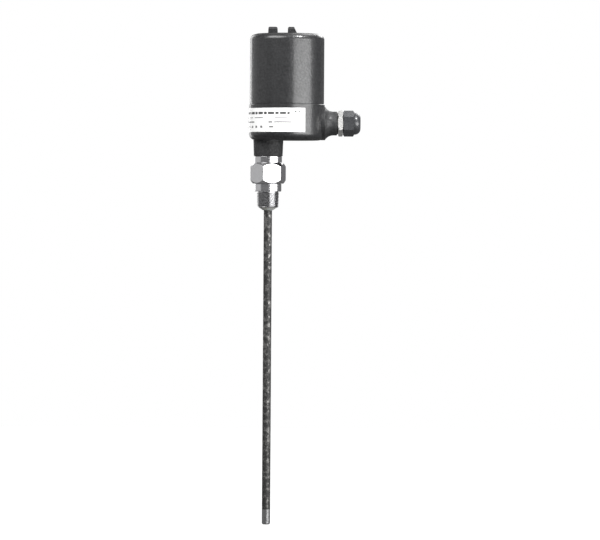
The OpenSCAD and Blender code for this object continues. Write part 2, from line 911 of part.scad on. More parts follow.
// A board also has a bay over each chassis screw, so that a driver reaches it
module board(t) {
    difference() {
        board_blank(t, spacer_tap_r + 0.3);
        translate([0, 0, -1]) around(post_angles, post_ring_r + 1) {
            cylinder(r = bay_r, h = t + 2);
            translate([0, -bay_r, 0]) cube([bay_r, 2 * bay_r, t + 2]);
        }
    }
}

module power_board() {
    color("#3b6b43") at_housing(z_board1) board(board_t);
}

module signal_board() {
    color("#3b6b43") at_housing(z_board2) board(board_t);
}

module board_screws() {
    color("#c8c9cb") at_housing(z_board2_top) around(spacer_angles, spacer_ring_r)
        pan_screw(spacer_tap_r - clear, board_t + board_screw_grip, board_head_r, small_head_h);
}

// Laminated core: a frame with two windows, stood on edge
module transformer_core() {
    color("#8b8d90") at_housing(z_board1_top) translate([trafo_pos[0], trafo_pos[1] + trafo_t / 2, 0])
        rotate([90, 0, 0]) linear_extrude(trafo_t) difference() {
            translate([-trafo_w / 2, 0]) square([trafo_w, trafo_h]);
            for (s = [-1, 1]) {
                translate([s * (trafo_leg + trafo_win_w) / 2 - trafo_win_w / 2, trafo_end])
                    square([trafo_win_w, trafo_win_h]);
            }
        }
}

module transformer_coil() {
    margin = 0.1;
    outer_w = trafo_leg + 2 * trafo_win_w - 2 * margin;
    outer_t = trafo_t + 2 * trafo_win_w;
    h = trafo_win_h - 2 * margin;
    color("#b8862f") at_housing(z_board1_top + trafo_end + margin) translate([trafo_pos[0], trafo_pos[1], 0])
        difference() {
            translate([-outer_w / 2, -outer_t / 2, 0]) cube([outer_w, outer_t, h]);
            translate([-trafo_leg / 2 - margin, -trafo_t / 2 - margin, -1])
                cube([trafo_leg + 2 * margin, trafo_t + 2 * margin, h + 2]);
        }
}

module relay() {
    lip = 0.6;
    color("#2f5fa8") at_housing(z_board1_top) translate(relay_pos) {
        cube([relay_size[0], relay_size[1], 1.2]);
        translate([lip, lip, 0]) cube([relay_size[0] - 2 * lip, relay_size[1] - 2 * lip, relay_size[2]]);
    }
}

module capacitors() {
    color("#26333f") at_housing(z_board1_top) for (p = cap_spots) {
        translate(p) rotate_extrude() difference() {
            capacitor_outline();
            translate([cap_r, 2.6]) circle(r = 0.5);
        }
    }
}

// Half section of a can with its edges rounded
module capacitor_outline() {
    round_r = 0.8;
    square([cap_r, cap_h - round_r]);
    square([cap_r - round_r, cap_h]);
    translate([cap_r - round_r, cap_h - round_r]) circle(r = round_r);
}

module fuse_clips() {
    wall = 0.6;
    wide = 2 * fuse_r + 2 * wall + 0.2;
    color("#c9b26a") at_housing(z_board1_top) for (s = [-1, 1]) {
        translate([fuse_x + s * (fuse_len - clip_w) / 2 - clip_w / 2, fuse_y - wide / 2, 0]) difference() {
            cube([clip_w, wide, fuse_lift + 1.2]);
            translate([-1, wide / 2, fuse_lift]) rotate([0, 90, 0])
                cylinder(r = fuse_r + clear, h = clip_w + 2);
            translate([-1, wall + 0.7, fuse_lift]) cube([clip_w + 2, wide - 2 * wall - 1.4, 5]);
        }
    }
}

module fuse() {
    color("#dfe3e6") at_housing(z_board1_top + fuse_lift) translate([fuse_x - fuse_len / 2, fuse_y, 0])
        rotate([0, 90, 0]) cylinder(r = fuse_r, h = fuse_len);
}

// Flat pin under the power board, where the probe's lead plugs on
module probe_pin() {
    tab_w = 6.4;
    tab_t = 0.8;
    color("#c9b26a") at_housing(z_board1 - pin_len) translate(lead_hole) {
        translate([-tab_w / 2, -tab_t / 2, 0]) cube([tab_w, tab_t, pin_len]);
        translate([0, 0, -0.1]) cylinder(r = 1.6, h = 3);
    }
}

module board_link() {
    color("#1f1f20") at_housing(z_board1_top) translate(link_pos) {
        cube([link_size[0], link_size[1], 2.5]);
        translate([0, 0, high_gap - link_shroud_h]) cube([link_size[0], link_size[1], link_shroud_h]);
        for (i = [0 : 3], j = [0 : 1]) {
            translate([1 + pin_pitch * i, 1 + pin_pitch * j, 1])
                cube([pin_w, pin_w, high_gap - link_shroud_h]);
        }
    }
}

// Stepped block: screws along its back, wire mouths along its front
module terminal_block() {
    length = block_ways * block_pitch;
    color("#3f7a4a") at_housing(z_board2_top) translate(block_pos) difference() {
        union() {
            cube([block_w, length, block_step_h]);
            cube([block_back_w, length, block_h]);
        }
        for (i = [0 : block_ways - 1]) {
            translate([block_back_w / 2, block_pitch * (i + 0.5), block_h - block_well_h])
                cylinder(r = 1.9, h = block_well_h + 1);
            translate([block_w / 2, block_pitch * i + 1, 1.6]) cube([block_w, block_pitch - 2, 3.6]);
        }
    }
}

module terminal_screws() {
    color("#c8c9cb") at_housing(z_board2_top + block_h - block_well_h) translate(block_pos)
        for (i = [0 : block_ways - 1]) {
            translate([block_back_w / 2, block_pitch * (i + 0.5), 0]) difference() {
                cylinder(r = 1.8, h = 2);
                translate([-3, -0.25, 1.2]) cube([6, 0.5, 2]);
            }
        }
}

// Trimmer body with a round recess for its screw
module trimmer_body() {
    difference() {
        translate([-trim_size / 2, -trim_size / 2, 0]) cube([trim_size, trim_size, trim_h]);
        translate([0, 0, trim_h - trim_recess]) cylinder(r = trim_r + run_gap, h = trim_recess + 1);
    }
}

// Trimmer screw with a slot that is cut through one side only, as a pointer
module trimmer_screw() {
    height = trim_recess + 0.5;
    translate([0, 0, trim_h - trim_recess + run_gap]) difference() {
        cylinder(r = trim_r, h = height);
        translate([-trim_r * 0.6, -0.4, height - 1]) cube([2 * trim_r, 0.8, 2]);
    }
}

module sensitivity_trimmer() {
    color("#2f5fa8") at_housing(z_board2_top) translate(sensitivity_pos) trimmer_body();
}

module sensitivity_screw() {
    color("#e9e7df") at_housing(z_board2_top) translate(sensitivity_pos) trimmer_screw();
}

module delay_trimmer() {
    color("#2f5fa8") at_housing(z_board2_top) translate(delay_pos) trimmer_body();
}

module delay_screw() {
    color("#e9e7df") at_housing(z_board2_top) translate(delay_pos) trimmer_screw();
}

module failsafe_switch() {
    slot = [slider_size[0] + 2 * run_gap, slider_size[1] + slider_travel + 2 * run_gap];
    color("#1f1f20") at_housing(z_board2_top) translate(switch_pos) difference() {
        translate([-switch_size[0] / 2, -switch_size[1] / 2, 0]) cube(switch_size);
        translate([-slot[0] / 2, -slot[1] / 2, switch_size[2] - slider_slot])
            cube([slot[0], slot[1], slider_slot + 1]);
    }
}

module failsafe_slider() {
    start = -(slider_size[1] + slider_travel) / 2;
    color("#e9e7df") at_housing(z_board2_top) translate(switch_pos)
        translate([-slider_size[0] / 2, start, switch_size[2] - slider_slot + run_gap]) cube(slider_size);
}

// Half section of a small lamp with a round top and a rim at its foot
module lamp_outline() {
    square([lamp_r + 0.3, 0.8]);
    square([lamp_r, lamp_h - lamp_r]);
    intersection() {
        square([lamp_r, lamp_h]);
        translate([0, lamp_h - lamp_r]) circle(r = lamp_r);
    }
}

module power_lamp() {
    color("#3fae4a") at_housing(z_board2_top) translate(power_lamp_pos) rotate_extrude() lamp_outline();
}

module output_lamp() {
    color("#c0392b") at_housing(z_board2_top) translate(output_lamp_pos) rotate_extrude() lamp_outline();
}

module chips() {
    color("#1b1c1e") at_housing(z_board2_top) for (p = chip_spots) {
        translate([p[0] - chip_size[0] / 2, p[1] - chip_size[1] / 2, 0]) difference() {
            cube(chip_size);
            translate([chip_size[0] / 2, 0, chip_size[2] - 0.5]) cylinder(r = 0.9, h = 1);
        }
    }
}

cover();
cover_lock_screw();
insulating_liner();
cover_seal();
housing_base();
nameplate();
outer_earth_screw();
outer_earth_washer();
inner_earth_screw();
inner_earth_washer();
gland_washer();
gland_body();
gland_seal();
gland_thrust_ring();
gland_nut();
process_fitting();
neck_seal();
lower_bush();
upper_bush();
rod_seals();
seal_spacer();
probe_rod();
probe_sheath();
probe_tip();
clamp_washer();
rod_nuts();
probe_lug();
probe_lead();
chassis_plate();
chassis_screws();
lead_grommet();
lower_spacers();
power_board();
transformer_core();
transformer_coil();
relay();
capacitors();
fuse_clips();
fuse();
probe_pin();
board_link();
upper_spacers();
signal_board();
board_screws();
terminal_block();
terminal_screws();
sensitivity_trimmer();
sensitivity_screw();
delay_trimmer();
delay_screw();
failsafe_switch();
failsafe_slider();
power_lamp();
output_lamp();
chips();
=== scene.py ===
# %% [markdown]
# A rod probe level switch is screwed into the side or roof of a vessel. A long sheathed rod reaches into it, a
# hexagon fitting with a taper thread carries the rod, and a cast housing with a screw cover holds the boards.
# The imported solids already have every size and every joint. This notebook gives them their finishes, and it
# models what solids leave out: real threads, print, tracks, chip legs and a glass fuse.
# %% Load the frame
import json
import math

import bmesh
import bpy
from mathutils import Matrix, Vector


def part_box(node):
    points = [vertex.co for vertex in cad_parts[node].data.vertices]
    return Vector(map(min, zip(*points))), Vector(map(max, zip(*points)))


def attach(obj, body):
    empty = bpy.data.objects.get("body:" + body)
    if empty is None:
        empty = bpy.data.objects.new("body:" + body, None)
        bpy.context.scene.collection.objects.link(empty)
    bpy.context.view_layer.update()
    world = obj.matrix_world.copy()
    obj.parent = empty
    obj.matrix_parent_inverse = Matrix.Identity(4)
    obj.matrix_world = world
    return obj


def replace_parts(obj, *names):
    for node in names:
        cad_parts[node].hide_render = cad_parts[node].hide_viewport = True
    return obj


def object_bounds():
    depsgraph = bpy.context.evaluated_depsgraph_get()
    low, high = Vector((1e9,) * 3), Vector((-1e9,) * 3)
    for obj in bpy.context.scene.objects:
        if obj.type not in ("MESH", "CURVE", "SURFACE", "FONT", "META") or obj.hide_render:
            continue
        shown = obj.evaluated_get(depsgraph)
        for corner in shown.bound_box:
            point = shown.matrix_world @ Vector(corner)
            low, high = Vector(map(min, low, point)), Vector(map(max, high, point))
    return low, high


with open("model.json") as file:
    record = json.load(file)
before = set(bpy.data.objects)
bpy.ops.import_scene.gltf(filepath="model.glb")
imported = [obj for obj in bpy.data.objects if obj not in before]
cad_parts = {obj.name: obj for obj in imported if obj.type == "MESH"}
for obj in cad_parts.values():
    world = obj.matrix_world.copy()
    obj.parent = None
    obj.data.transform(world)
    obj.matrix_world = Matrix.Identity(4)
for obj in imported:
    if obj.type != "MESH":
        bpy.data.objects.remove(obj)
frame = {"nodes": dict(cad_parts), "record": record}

MM = 0.001
nodes = frame["nodes"]
cad_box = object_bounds()
print("solids:", len(nodes), "box", [round(side / MM, 1) for side in cad_box[1] - cad_box[0]], "mm")

# %% [markdown]
# The photograph is a catalogue cut-out, taken with a long lens a little above the middle of the switch. A
# long lens keeps the two sides of the rod parallel. The camera could be placed by eye, but one known scale is
# safer: 1.2 mm a pixel, and the pixel where the rod meets the shoulder of the thread. Three unit vectors then
# place it.
# %% Camera
PHOTO_WIDTH, PHOTO_HEIGHT = 600, 540
MM_PER_PIXEL = 1.2
SHOULDER_PIXEL = Vector((268.0, 191.5))
CAMERA_ABOVE = math.radians(1.4)
CAMERA_ROLL = math.radians(0.38)
CAMERA_DISTANCE = 4.0
SENSOR_WIDTH = 36.0


def add_object(name, data):
    """A new object in the scene."""
    made = bpy.data.objects.new(name, data)
    bpy.context.scene.collection.objects.link(made)
    return made


def camera_axes(above, roll):
    """Right, up and forward of a camera that looks along +Y from a little above and leans a little."""
    forward = Vector((0, math.cos(above), -math.sin(above)))
    level_up = Vector((0, math.sin(above), math.cos(above)))
    right = Vector((1, 0, 0)) * math.cos(roll) + level_up * math.sin(roll)
    up = level_up * math.cos(roll) - Vector((1, 0, 0)) * math.sin(roll)
    return right, up, forward


right, up, forward = camera_axes(CAMERA_ABOVE, CAMERA_ROLL)
to_middle = (Vector((PHOTO_WIDTH / 2, PHOTO_HEIGHT / 2)) - SHOULDER_PIXEL) * MM_PER_PIXEL * MM
aim = right * to_middle.x - up * to_middle.y
camera_data = bpy.data.cameras.new("camera")
camera_data.sensor_fit = "HORIZONTAL"
camera_data.sensor_width = SENSOR_WIDTH
camera_data.lens = SENSOR_WIDTH * CAMERA_DISTANCE / (PHOTO_WIDTH * MM_PER_PIXEL * MM)
camera_data.clip_end = 50
camera = add_object("camera", camera_data)
camera.matrix_world = Matrix((right, up, -forward)).transposed().to_4x4()
camera.location = aim - forward * CAMERA_DISTANCE
bpy.context.scene.camera = camera
bpy.context.scene.view_settings.view_transform = "Standard"
print("lens", round(camera_data.lens), "mm, aimed at", [round(c / MM, 1) for c in aim])

# %% [markdown]
# Every finish is a small tree of nodes. Writing each link by hand hides the idea, so one helper adds a node
# and takes its inputs in a dictionary: a plain value is set on the socket, and another node's output is
# linked to it. A second helper links a tree's results to the node that ends it.
# %% Nodes and links
def add_node(tree, kind, inputs=None, **settings):
    """A node with its settings, and with each input set to a value or linked to another node's output."""
    made = tree.nodes.new(kind)
    for name, value in settings.items():
        setattr(made, name, value)
    for socket, value in (inputs or {}).items():
        if isinstance(value, bpy.types.NodeSocket):
            tree.links.new(value, made.inputs[socket])
        else:
            made.inputs[socket].default_value = value
    return made


def link(tree, node, **values):
    """Links values to a node's named inputs. An underscore stands for a space."""
    for name, value in values.items():
        tree.links.new(value, node.inputs[name.replace("_", " ")])


print("nodes and links ready")

# %% [markdown]
# The nodes that every finish needs get short names: sums and ranges of numbers, mixes of colours, a noise,
# the normal that a height bumps, and one coordinate of a vector.
# %% Numbers, colours, noises and bumps
MIX_A, MIX_B, MIX_RESULT = 6, 7, 2


def arithmetic(tree, operation, first, second=0.0, clamp=False):
    """The result of one Math node."""
    inputs = {0: first, 1: second}
    return add_node(tree, "ShaderNodeMath", inputs, operation=operation, use_clamp=clamp).outputs[0]


def times(tree, first, second):
    """The product of two numbers or masks."""
    return arithmetic(tree, "MULTIPLY", first, second)


def remap(tree, value, low, high, to_low=0.0, to_high=1.0):
    """A value moved from one range to another, and held inside it."""
    inputs = {"Value": value, "From Min": low, "From Max": high, "To Min": to_low, "To Max": to_high}
    return add_node(tree, "ShaderNodeMapRange", inputs).outputs["Result"]


def between(tree, mask, at_zero, at_one):
    """A number that goes from one value to another as a mask goes from 0 to 1."""
    return remap(tree, mask, 0.0, 1.0, at_zero, at_one)


def mix_colors(tree, mask, first, second, share=1.0):
    """The first colour where the mask is 0, and a share of the second where it is 1."""
    inputs = {0: mask if share == 1.0 else times(tree, mask, share)}
    for socket, color in ((MIX_A, first), (MIX_B, second)):
        inputs[socket] = color if isinstance(color, bpy.types.NodeSocket) else (*color, 1.0)
    return add_node(tree, "ShaderNodeMix", inputs, data_type="RGBA").outputs[MIX_RESULT]


def noise(tree, dimensions="3D", **inputs):
    """The value of a Noise Texture."""
    return add_node(tree, "ShaderNodeTexNoise", inputs, noise_dimensions=dimensions).outputs[0]


def bump(tree, height, distance, invert=False, **inputs):
    """The normal that a height bumps."""
    inputs.update(Height=height, Distance=distance)
    return add_node(tree, "ShaderNodeBump", inputs, invert=invert).outputs[0]


def axis_of(tree, vector, axis):
    """One coordinate of a vector."""
    return add_node(tree, "ShaderNodeSeparateXYZ", {0: vector}).outputs[axis]


print("colours go into sockets", MIX_A, "and", MIX_B, "of a mix")

# %% [markdown]
# Cast and moulded skins are never quite smooth: paint lies on a pebbled casting, and plastic copies its mould.
# A noise that is both a bump and a mask does for all of them, with a size in metres. The mask lets a material
# darken the pits a little, a painted shade in each pit, which makes a printed photograph of such a paint look
# speckled. A noise lies mostly between 0.3 and 0.7, so a mask is stretched from about there to the range from
# 0 to 1.
# %% Shared effect: grain
VECTOR_SOCKETS = ("Vector", "Normal")


def new_group(name, inputs, outputs):
    """An empty shader group with named sockets: its tree, the outputs of its input node, its output node."""
    tree = bpy.data.node_groups.new(name, "ShaderNodeTree")
    for way, sockets in (("INPUT", inputs), ("OUTPUT", outputs)):
        for socket in sockets:
            kind = "NodeSocketVector" if socket in VECTOR_SOCKETS else "NodeSocketFloat"
            tree.interface.new_socket(socket, in_out=way, socket_type=kind)
    return tree, tree.nodes.new("NodeGroupInput").outputs, tree.nodes.new("NodeGroupOutput")


def build_grain():
    """Noise of a given size. Gives its mask from 0 to 1, and the normal that it bumps."""
    tree, given, result = new_group("grain", ("Vector", "Size", "Depth"), ("Mask", "Normal"))
    scale = arithmetic(tree, "DIVIDE", 1.0, given["Size"])
    pebbles = noise(tree, Vector=given["Vector"], Scale=scale, Detail=3.0, Roughness=0.6)
    link(tree, result, Mask=remap(tree, pebbles, 0.32, 0.68), Normal=bump(tree, pebbles, given["Depth"]))
    return tree


grain = build_grain()
print("group", grain.name, "with", len(grain.nodes), "nodes")

# %% [markdown]
# Paint goes thin on an edge, and a bright line shows where hands and spanners rub. The Bevel node finds
# edges: it gives the normal of a rounded corner, which differs from the true normal only near an edge. A
# patch of noise then breaks the line up, because wear is never even.
# %% Shared effect: edge wear
def build_edge_wear():
    """Mask of worn edges: 1 on the edge itself, broken up by noise."""
    tree, given, result = new_group("edge wear", ("Vector", "Width", "Patch"), ("Mask",))
    rounded = add_node(tree, "ShaderNodeBevel", {"Radius": given["Width"]}, samples=4).outputs[0]
    true_normal = add_node(tree, "ShaderNodeNewGeometry").outputs["Normal"]
    alike = add_node(tree, "ShaderNodeVectorMath", {0: rounded, 1: true_normal}, operation="DOT_PRODUCT")
    edge = remap(tree, alike.outputs["Value"], 0.95, 0.8)
    scale = arithmetic(tree, "DIVIDE", 1.0, given["Patch"])
    patch = noise(tree, Vector=given["Vector"], Scale=scale, Detail=5.0)
    link(tree, result, Mask=times(tree, edge, remap(tree, patch, 0.42, 0.62)))
    return tree


edge_wear = build_edge_wear()
print("group", edge_wear.name, "with", len(edge_wear.nodes), "nodes")

# %% [markdown]
# A lathe leaves fine rings round a turned part. They are a noise in one dimension only, along the part's
# axis, so the effect takes the coordinate along that axis and not a vector. The rings catch the light as a
# streak.
# %% Shared effect: turned rings
def build_turned_rings():
    """Fine rings across one coordinate. Gives their mask and the normal that they bump."""
    tree, given, result = new_group("turned rings", ("Along", "Pitch", "Depth"), ("Mask", "Normal"))
    along = arithmetic(tree, "DIVIDE", given["Along"], given["Pitch"])
    rings = noise(tree, "1D", W=along, Scale=1.0, Detail=4.0, Roughness=0.7)
    link(tree, result, Mask=remap(tree, rings, 0.3, 0.7), Normal=bump(tree, rings, given["Depth"]))
    return tree


turned_rings = build_turned_rings()
print("group", turned_rings.name, "with", len(turned_rings.nodes), "nodes")

# %% [markdown]
# Handled metal, old plastic and the rod's sheath are blotched: stains, dried film and polished spots lie side
# by side. Two noises of different size, added and cut with a threshold, give islands with soft shores.
# %% Shared effect: mottle
FINER, BROAD_PART, SHORE_STEEPNESS = 3.1, 0.65, 12.0


def build_mottle():
    """Islands of a given size that cover about a given share of the surface."""
    tree, given, result = new_group("mottle", ("Vector", "Size", "Share"), ("Mask",))
    scale = arithmetic(tree, "DIVIDE", 1.0, given["Size"])
    broad = noise(tree, Vector=given["Vector"], Scale=scale, Detail=2.0)
    fine = noise(tree, Vector=given["Vector"], Scale=times(tree, scale, FINER), Detail=4.0)
    both = arithmetic(tree, "ADD", times(tree, broad, BROAD_PART), times(tree, fine, 1 - BROAD_PART))
    above = arithmetic(tree, "SUBTRACT", both, between(tree, given["Share"], 0.66, 0.34))
    shore = times(tree, above, SHORE_STEEPNESS)
    link(tree, result, Mask=arithmetic(tree, "ADD", shore, 0.5, clamp=True))
    return tree


mottle = build_mottle()
print("group", mottle.name, "with", len(mottle.nodes), "nodes")

# %% [markdown]
# Dust settles on what faces up and nowhere else. The height part of the surface's own normal says how far it
# faces up, and a noise thins the layer. The mask goes into colour only, since the film is thin and pale.
# %% Shared effect: dust
DUST_COLOR = (0.34, 0.33, 0.31)
DUST_PATCHES = 90.0


def build_dust():
    """Mask of dust on faces that look up."""
    tree, given, result = new_group("dust", ("Vector", "Amount"), ("Mask",))
    normal = add_node(tree, "ShaderNodeNewGeometry").outputs["Normal"]
    facing = remap(tree, axis_of(tree, normal, "Z"), 0.55, 1.0)
    patch = noise(tree, Vector=given["Vector"], Scale=DUST_PATCHES, Detail=6.0)
    lying = times(tree, facing, remap(tree, patch, 0.35, 0.7))
    link(tree, result, Mask=times(tree, lying, given["Amount"]))
    return tree


dust = build_dust()
print("group", dust.name, "with", len(dust.nodes), "nodes")

# %% [markdown]
# A finish starts as one Principled shader, which gets the values that are the same all over it. Object
# coordinates are used for every pattern: each piece keeps its origin at the frame's, so a pattern has its
# real size in metres and runs on from one piece to the next.
# %% Start of a finish
finishes = {}


def start_finish(slot, **sockets):
    """A new material under its slot's name: its tree, its shader and its Object coordinates."""
    material = bpy.data.materials.new(slot)
    material.use_nodes = True
    tree = material.node_tree
    shader = tree.nodes["Principled BSDF"]
    for name, value in sockets.items():
        shader.inputs[name.replace("_", " ")].default_value = value
    finishes[slot] = material
    return tree, shader, add_node(tree, "ShaderNodeTexCoord").outputs["Object"]


def effect(tree, group, **inputs):
    """A shared effect added to a material with its own values. Gives its output sockets."""
    return add_node(tree, "ShaderNodeGroup", inputs, node_tree=group).outputs


print("finishes so far:", len(finishes))

# %% [markdown]
# The housing is a die casting under satin dark grey paint. Its pebbled skin breaks the highlight into speckle,
# so grain drives colour, roughness and bump together: the colour is painted shade, darker in each pit of the
# grain. The neck and the hub are duller, as the photograph shows: the spray reaches into their corners less.
# The wear on the edges is kept faint, because the switch is new.
# %% Finish: painted casting
PAINT_PIT_SHADE = (0.004, 0.0042, 0.0046)
PAINT_LIGHT = (0.026, 0.0264, 0.0276)
PAINT_WORN = (0.22, 0.22, 0.225)
NECK_TOP, HUB_START, FADE = 0.0605, 0.0655, 0.004
DULL_EXTRA = 0.34


def painted_casting():
    """Satin paint on a pebbled casting, duller on the neck and the hub."""
    tree, shader, coords = start_finish("painted_casting", Coat_Roughness=0.13)
    skin = effect(tree, grain, Vector=coords, Size=0.0027, Depth=0.00024)
    cloud = effect(tree, mottle, Vector=coords, Size=0.014, Share=0.45)["Mask"]
    worn = effect(tree, edge_wear, Vector=coords, Width=0.0006, Patch=0.006)["Mask"]
    dusty = effect(tree, dust, Vector=coords, Amount=0.07)["Mask"]
    above_neck = remap(tree, axis_of(tree, coords, "Z"), NECK_TOP, NECK_TOP + FADE)
    before_hub = remap(tree, axis_of(tree, coords, "X"), HUB_START + FADE, HUB_START, 0.35)
    satin = times(tree, above_neck, before_hub)
    # Pits of the grain take the darker paint colour: painted shade in each pit.
    paint = mix_colors(tree, skin["Mask"], PAINT_PIT_SHADE, PAINT_LIGHT)
    paint = mix_colors(tree, cloud, paint, PAINT_LIGHT, share=0.15)
    paint = mix_colors(tree, worn, paint, PAINT_WORN, share=0.2)
    gloss = between(tree, skin["Mask"], 0.42, 0.28)
    link(
        tree,
        shader,
        Base_Color=mix_colors(tree, dusty, paint, DUST_COLOR),
        Roughness=arithmetic(tree, "ADD", gloss, between(tree, satin, DULL_EXTRA, 0.0)),
        Coat_Weight=times(tree, satin, 0.3),
        Normal=skin["Normal"],
    )


painted_casting()
print("paint from", PAINT_PIT_SHADE, "to", PAINT_LIGHT)

# %% [markdown]
# Metals differ in three numbers and in how they were made: colour, gloss and the mark of the tool. One
# function makes a turned metal, with rings across the given axis, and one makes rolled or plated metal with
# blotches.
# %% Finishes: metals
def turned_metal(slot, color, roughness, axis, pitch, stain, share, darker_below=None):
    """Turned metal with soft stains. Below a height its colour is darker and its surface rougher."""
    tree, shader, coords = start_finish(slot, Metallic=1.0)
    rings = effect(tree, turned_rings, Along=axis_of(tree, coords, axis), Pitch=pitch, Depth=0.000005)
    blotch = effect(tree, mottle, Vector=coords, Size=0.0022, Share=share)["Mask"]
    paint = mix_colors(tree, blotch, color, stain, share=0.45)
    gloss = between(tree, rings["Mask"], roughness - 0.05, roughness + 0.05)
    gloss = arithmetic(tree, "ADD", gloss, times(tree, blotch, 0.05))
    if darker_below is not None:
        # Below the height the colour is darker and the roughness higher.
        lower_part = remap(tree, axis_of(tree, coords, "Z"), darker_below, darker_below - 0.0008)
        paint = mix_colors(tree, lower_part, paint, tuple(0.56 * c for c in color))
        gloss = arithmetic(tree, "ADD", gloss, times(tree, lower_part, 0.08))
    link(tree, shader, Base_Color=paint, Roughness=gloss, Normal=rings["Normal"])


def plated_metal(slot, color, roughness, stain, share, patch=0.003):
    """Rolled or plated metal with a fine skin and soft stains."""
    tree, shader, coords = start_finish(slot, Metallic=1.0)
    blotch = effect(tree, mottle, Vector=coords, Size=patch, Share=share)["Mask"]
    skin = effect(tree, grain, Vector=coords, Size=0.0006, Depth=0.000006)
    paint = mix_colors(tree, blotch, color, stain, share=0.4)
    gloss = between(tree, skin["Mask"], roughness - 0.05, roughness + 0.1)
    link(tree, shader, Base_Color=paint, Roughness=gloss, Normal=skin["Normal"])


turned_metal("stainless", (0.66, 0.66, 0.67), 0.2, "Z", 0.0005, (0.5, 0.495, 0.49), 0.3, darker_below=0.0)
turned_metal("plated_brass", (0.80, 0.795, 0.78), 0.42, "X", 0.0004, (0.62, 0.60, 0.57), 0.2)
plated_metal("bare_brass", (0.70, 0.50, 0.22), 0.3, (0.50, 0.34, 0.15), 0.3, patch=0.004)
plated_metal("bright_steel", (0.62, 0.62, 0.63), 0.3, (0.42, 0.42, 0.4), 0.4)
plated_metal("dark_steel", (0.16, 0.16, 0.17), 0.38, (0.08, 0.08, 0.08), 0.5)
print("finishes so far:", len(finishes))

# %% [markdown]
# The chassis is cut from rolled sheet, which has long straight scratches one way. Stretching the coordinates
# of a noise along one axis draws them. The transformer's core is a stack of half millimetre sheets, so a wave
# across the stack shades the joints between them.
# %% Finishes: rolled sheet and laminations
def stretched_noise(tree, coords, stretch, detail):
    """A noise drawn out along an axis: the smaller its number, the longer the streaks along it."""
    vector = add_node(tree, "ShaderNodeMapping", {"Vector": coords, "Scale": stretch}).outputs[0]
    return noise(tree, Vector=vector, Scale=1.0, Detail=detail)


def chassis_alloy():
    """Rolled sheet with straight scratches along X."""
    tree, shader, coords = start_finish("chassis_alloy", Metallic=1.0)
    streaks = stretched_noise(tree, coords, (60.0, 4000.0, 400.0), 3.0)
    scratches = remap(tree, streaks, 0.3, 0.7)
    color = mix_colors(tree, scratches, (0.52, 0.53, 0.55), (0.68, 0.69, 0.7))
    normal = bump(tree, streaks, 0.000004)
    link(tree, shader, Base_Color=color, Roughness=between(tree, scratches, 0.28, 0.44), Normal=normal)


def core_steel(sheet=0.0005):
    """Sheets stacked along Y, with dark joints and a little rust."""
    tree, shader, coords = start_finish("core_steel", Metallic=0.8)
    across = arithmetic(tree, "DIVIDE", axis_of(tree, coords, "Y"), sheet)
    from_middle = arithmetic(tree, "SUBTRACT", arithmetic(tree, "FRACT", across), 0.5)
    joint = remap(tree, arithmetic(tree, "ABSOLUTE", from_middle), 0.36, 0.5)
    rust = effect(tree, mottle, Vector=coords, Size=0.003, Share=0.3)["Mask"]
    color = mix_colors(tree, joint, (0.33, 0.33, 0.35), (0.08, 0.08, 0.085))
    color = mix_colors(tree, rust, color, (0.2, 0.13, 0.08), share=0.25)
    normal = bump(tree, joint, 0.00005, invert=True)
    link(tree, shader, Base_Color=color, Roughness=between(tree, rust, 0.42, 0.65), Normal=normal)


chassis_alloy()
core_steel()
print("finishes so far:", len(finishes))

# %% [markdown]
# Plastics and rubbers share one recipe: a body colour that drifts a little, the fine grain of the mould and a
# roughness that follows it. Each part then has its own values. Rubber is matt and nearly black, a moulded
# gland nut is glossier, and fluoropolymer is white and waxy, which a little subsurface scattering shows.
# %% Finishes: plastics and rubbers
def moulded(slot, color, roughness, drift=0.25, size=0.0007, depth=0.00001, **sockets):
    """Plastic or rubber. Its drift says how much darker the clouds in its colour are."""
    tree, shader, coords = start_finish(slot, **sockets)
    skin = effect(tree, grain, Vector=coords, Size=size, Depth=depth)
    cloud = effect(tree, mottle, Vector=coords, Size=0.006, Share=0.5)["Mask"]
    paint = mix_colors(tree, cloud, color, tuple(c * (1 - drift) for c in color), share=0.6)
    gloss = between(tree, skin["Mask"], roughness - 0.06, roughness + 0.06)
    link(tree, shader, Base_Color=paint, Roughness=gloss, Normal=skin["Normal"])


moulded("gland_black", (0.040, 0.041, 0.044), 0.27, size=0.0016, depth=0.00002, Coat_Weight=0.25,
        Coat_Roughness=0.15)
moulded("seal_rubber", (0.021, 0.021, 0.022), 0.62, depth=0.00002)
moulded("fibre_black", (0.045, 0.042, 0.04), 0.7, size=0.0004, depth=0.00003)
moulded("bush_white", (0.50, 0.49, 0.46), 0.4, drift=0.15, Subsurface_Weight=0.1)
moulded("lead_red", (0.45, 0.075, 0.05), 0.42, size=0.001)
moulded("relay_blue", (0.055, 0.15, 0.40), 0.33)
moulded("part_black", (0.028, 0.028, 0.030), 0.45)
moulded("block_green", (0.07, 0.29, 0.13), 0.4)
moulded("knob_white", (0.80, 0.78, 0.72), 0.36, drift=0.08)
print("finishes so far:", len(finishes))

# %% [markdown]
# The rod's sheath is the longest thing in the picture: a dark skin of scale, with spots that only show on the
# lit side. Pale paint would show all round, so the spots are islands where the skin has worn through to
# smoother metal: they glint where they mirror the lamp, and stay nearly as dark as the scale everywhere else.
# %% Finish: mottled sheath
SCALE_PIT_SHADE, SCALE_LIGHT, SCALE_BARE = (0.004, 0.004, 0.0038), (0.026, 0.0255, 0.0245), (0.23, 0.225, 0.217)


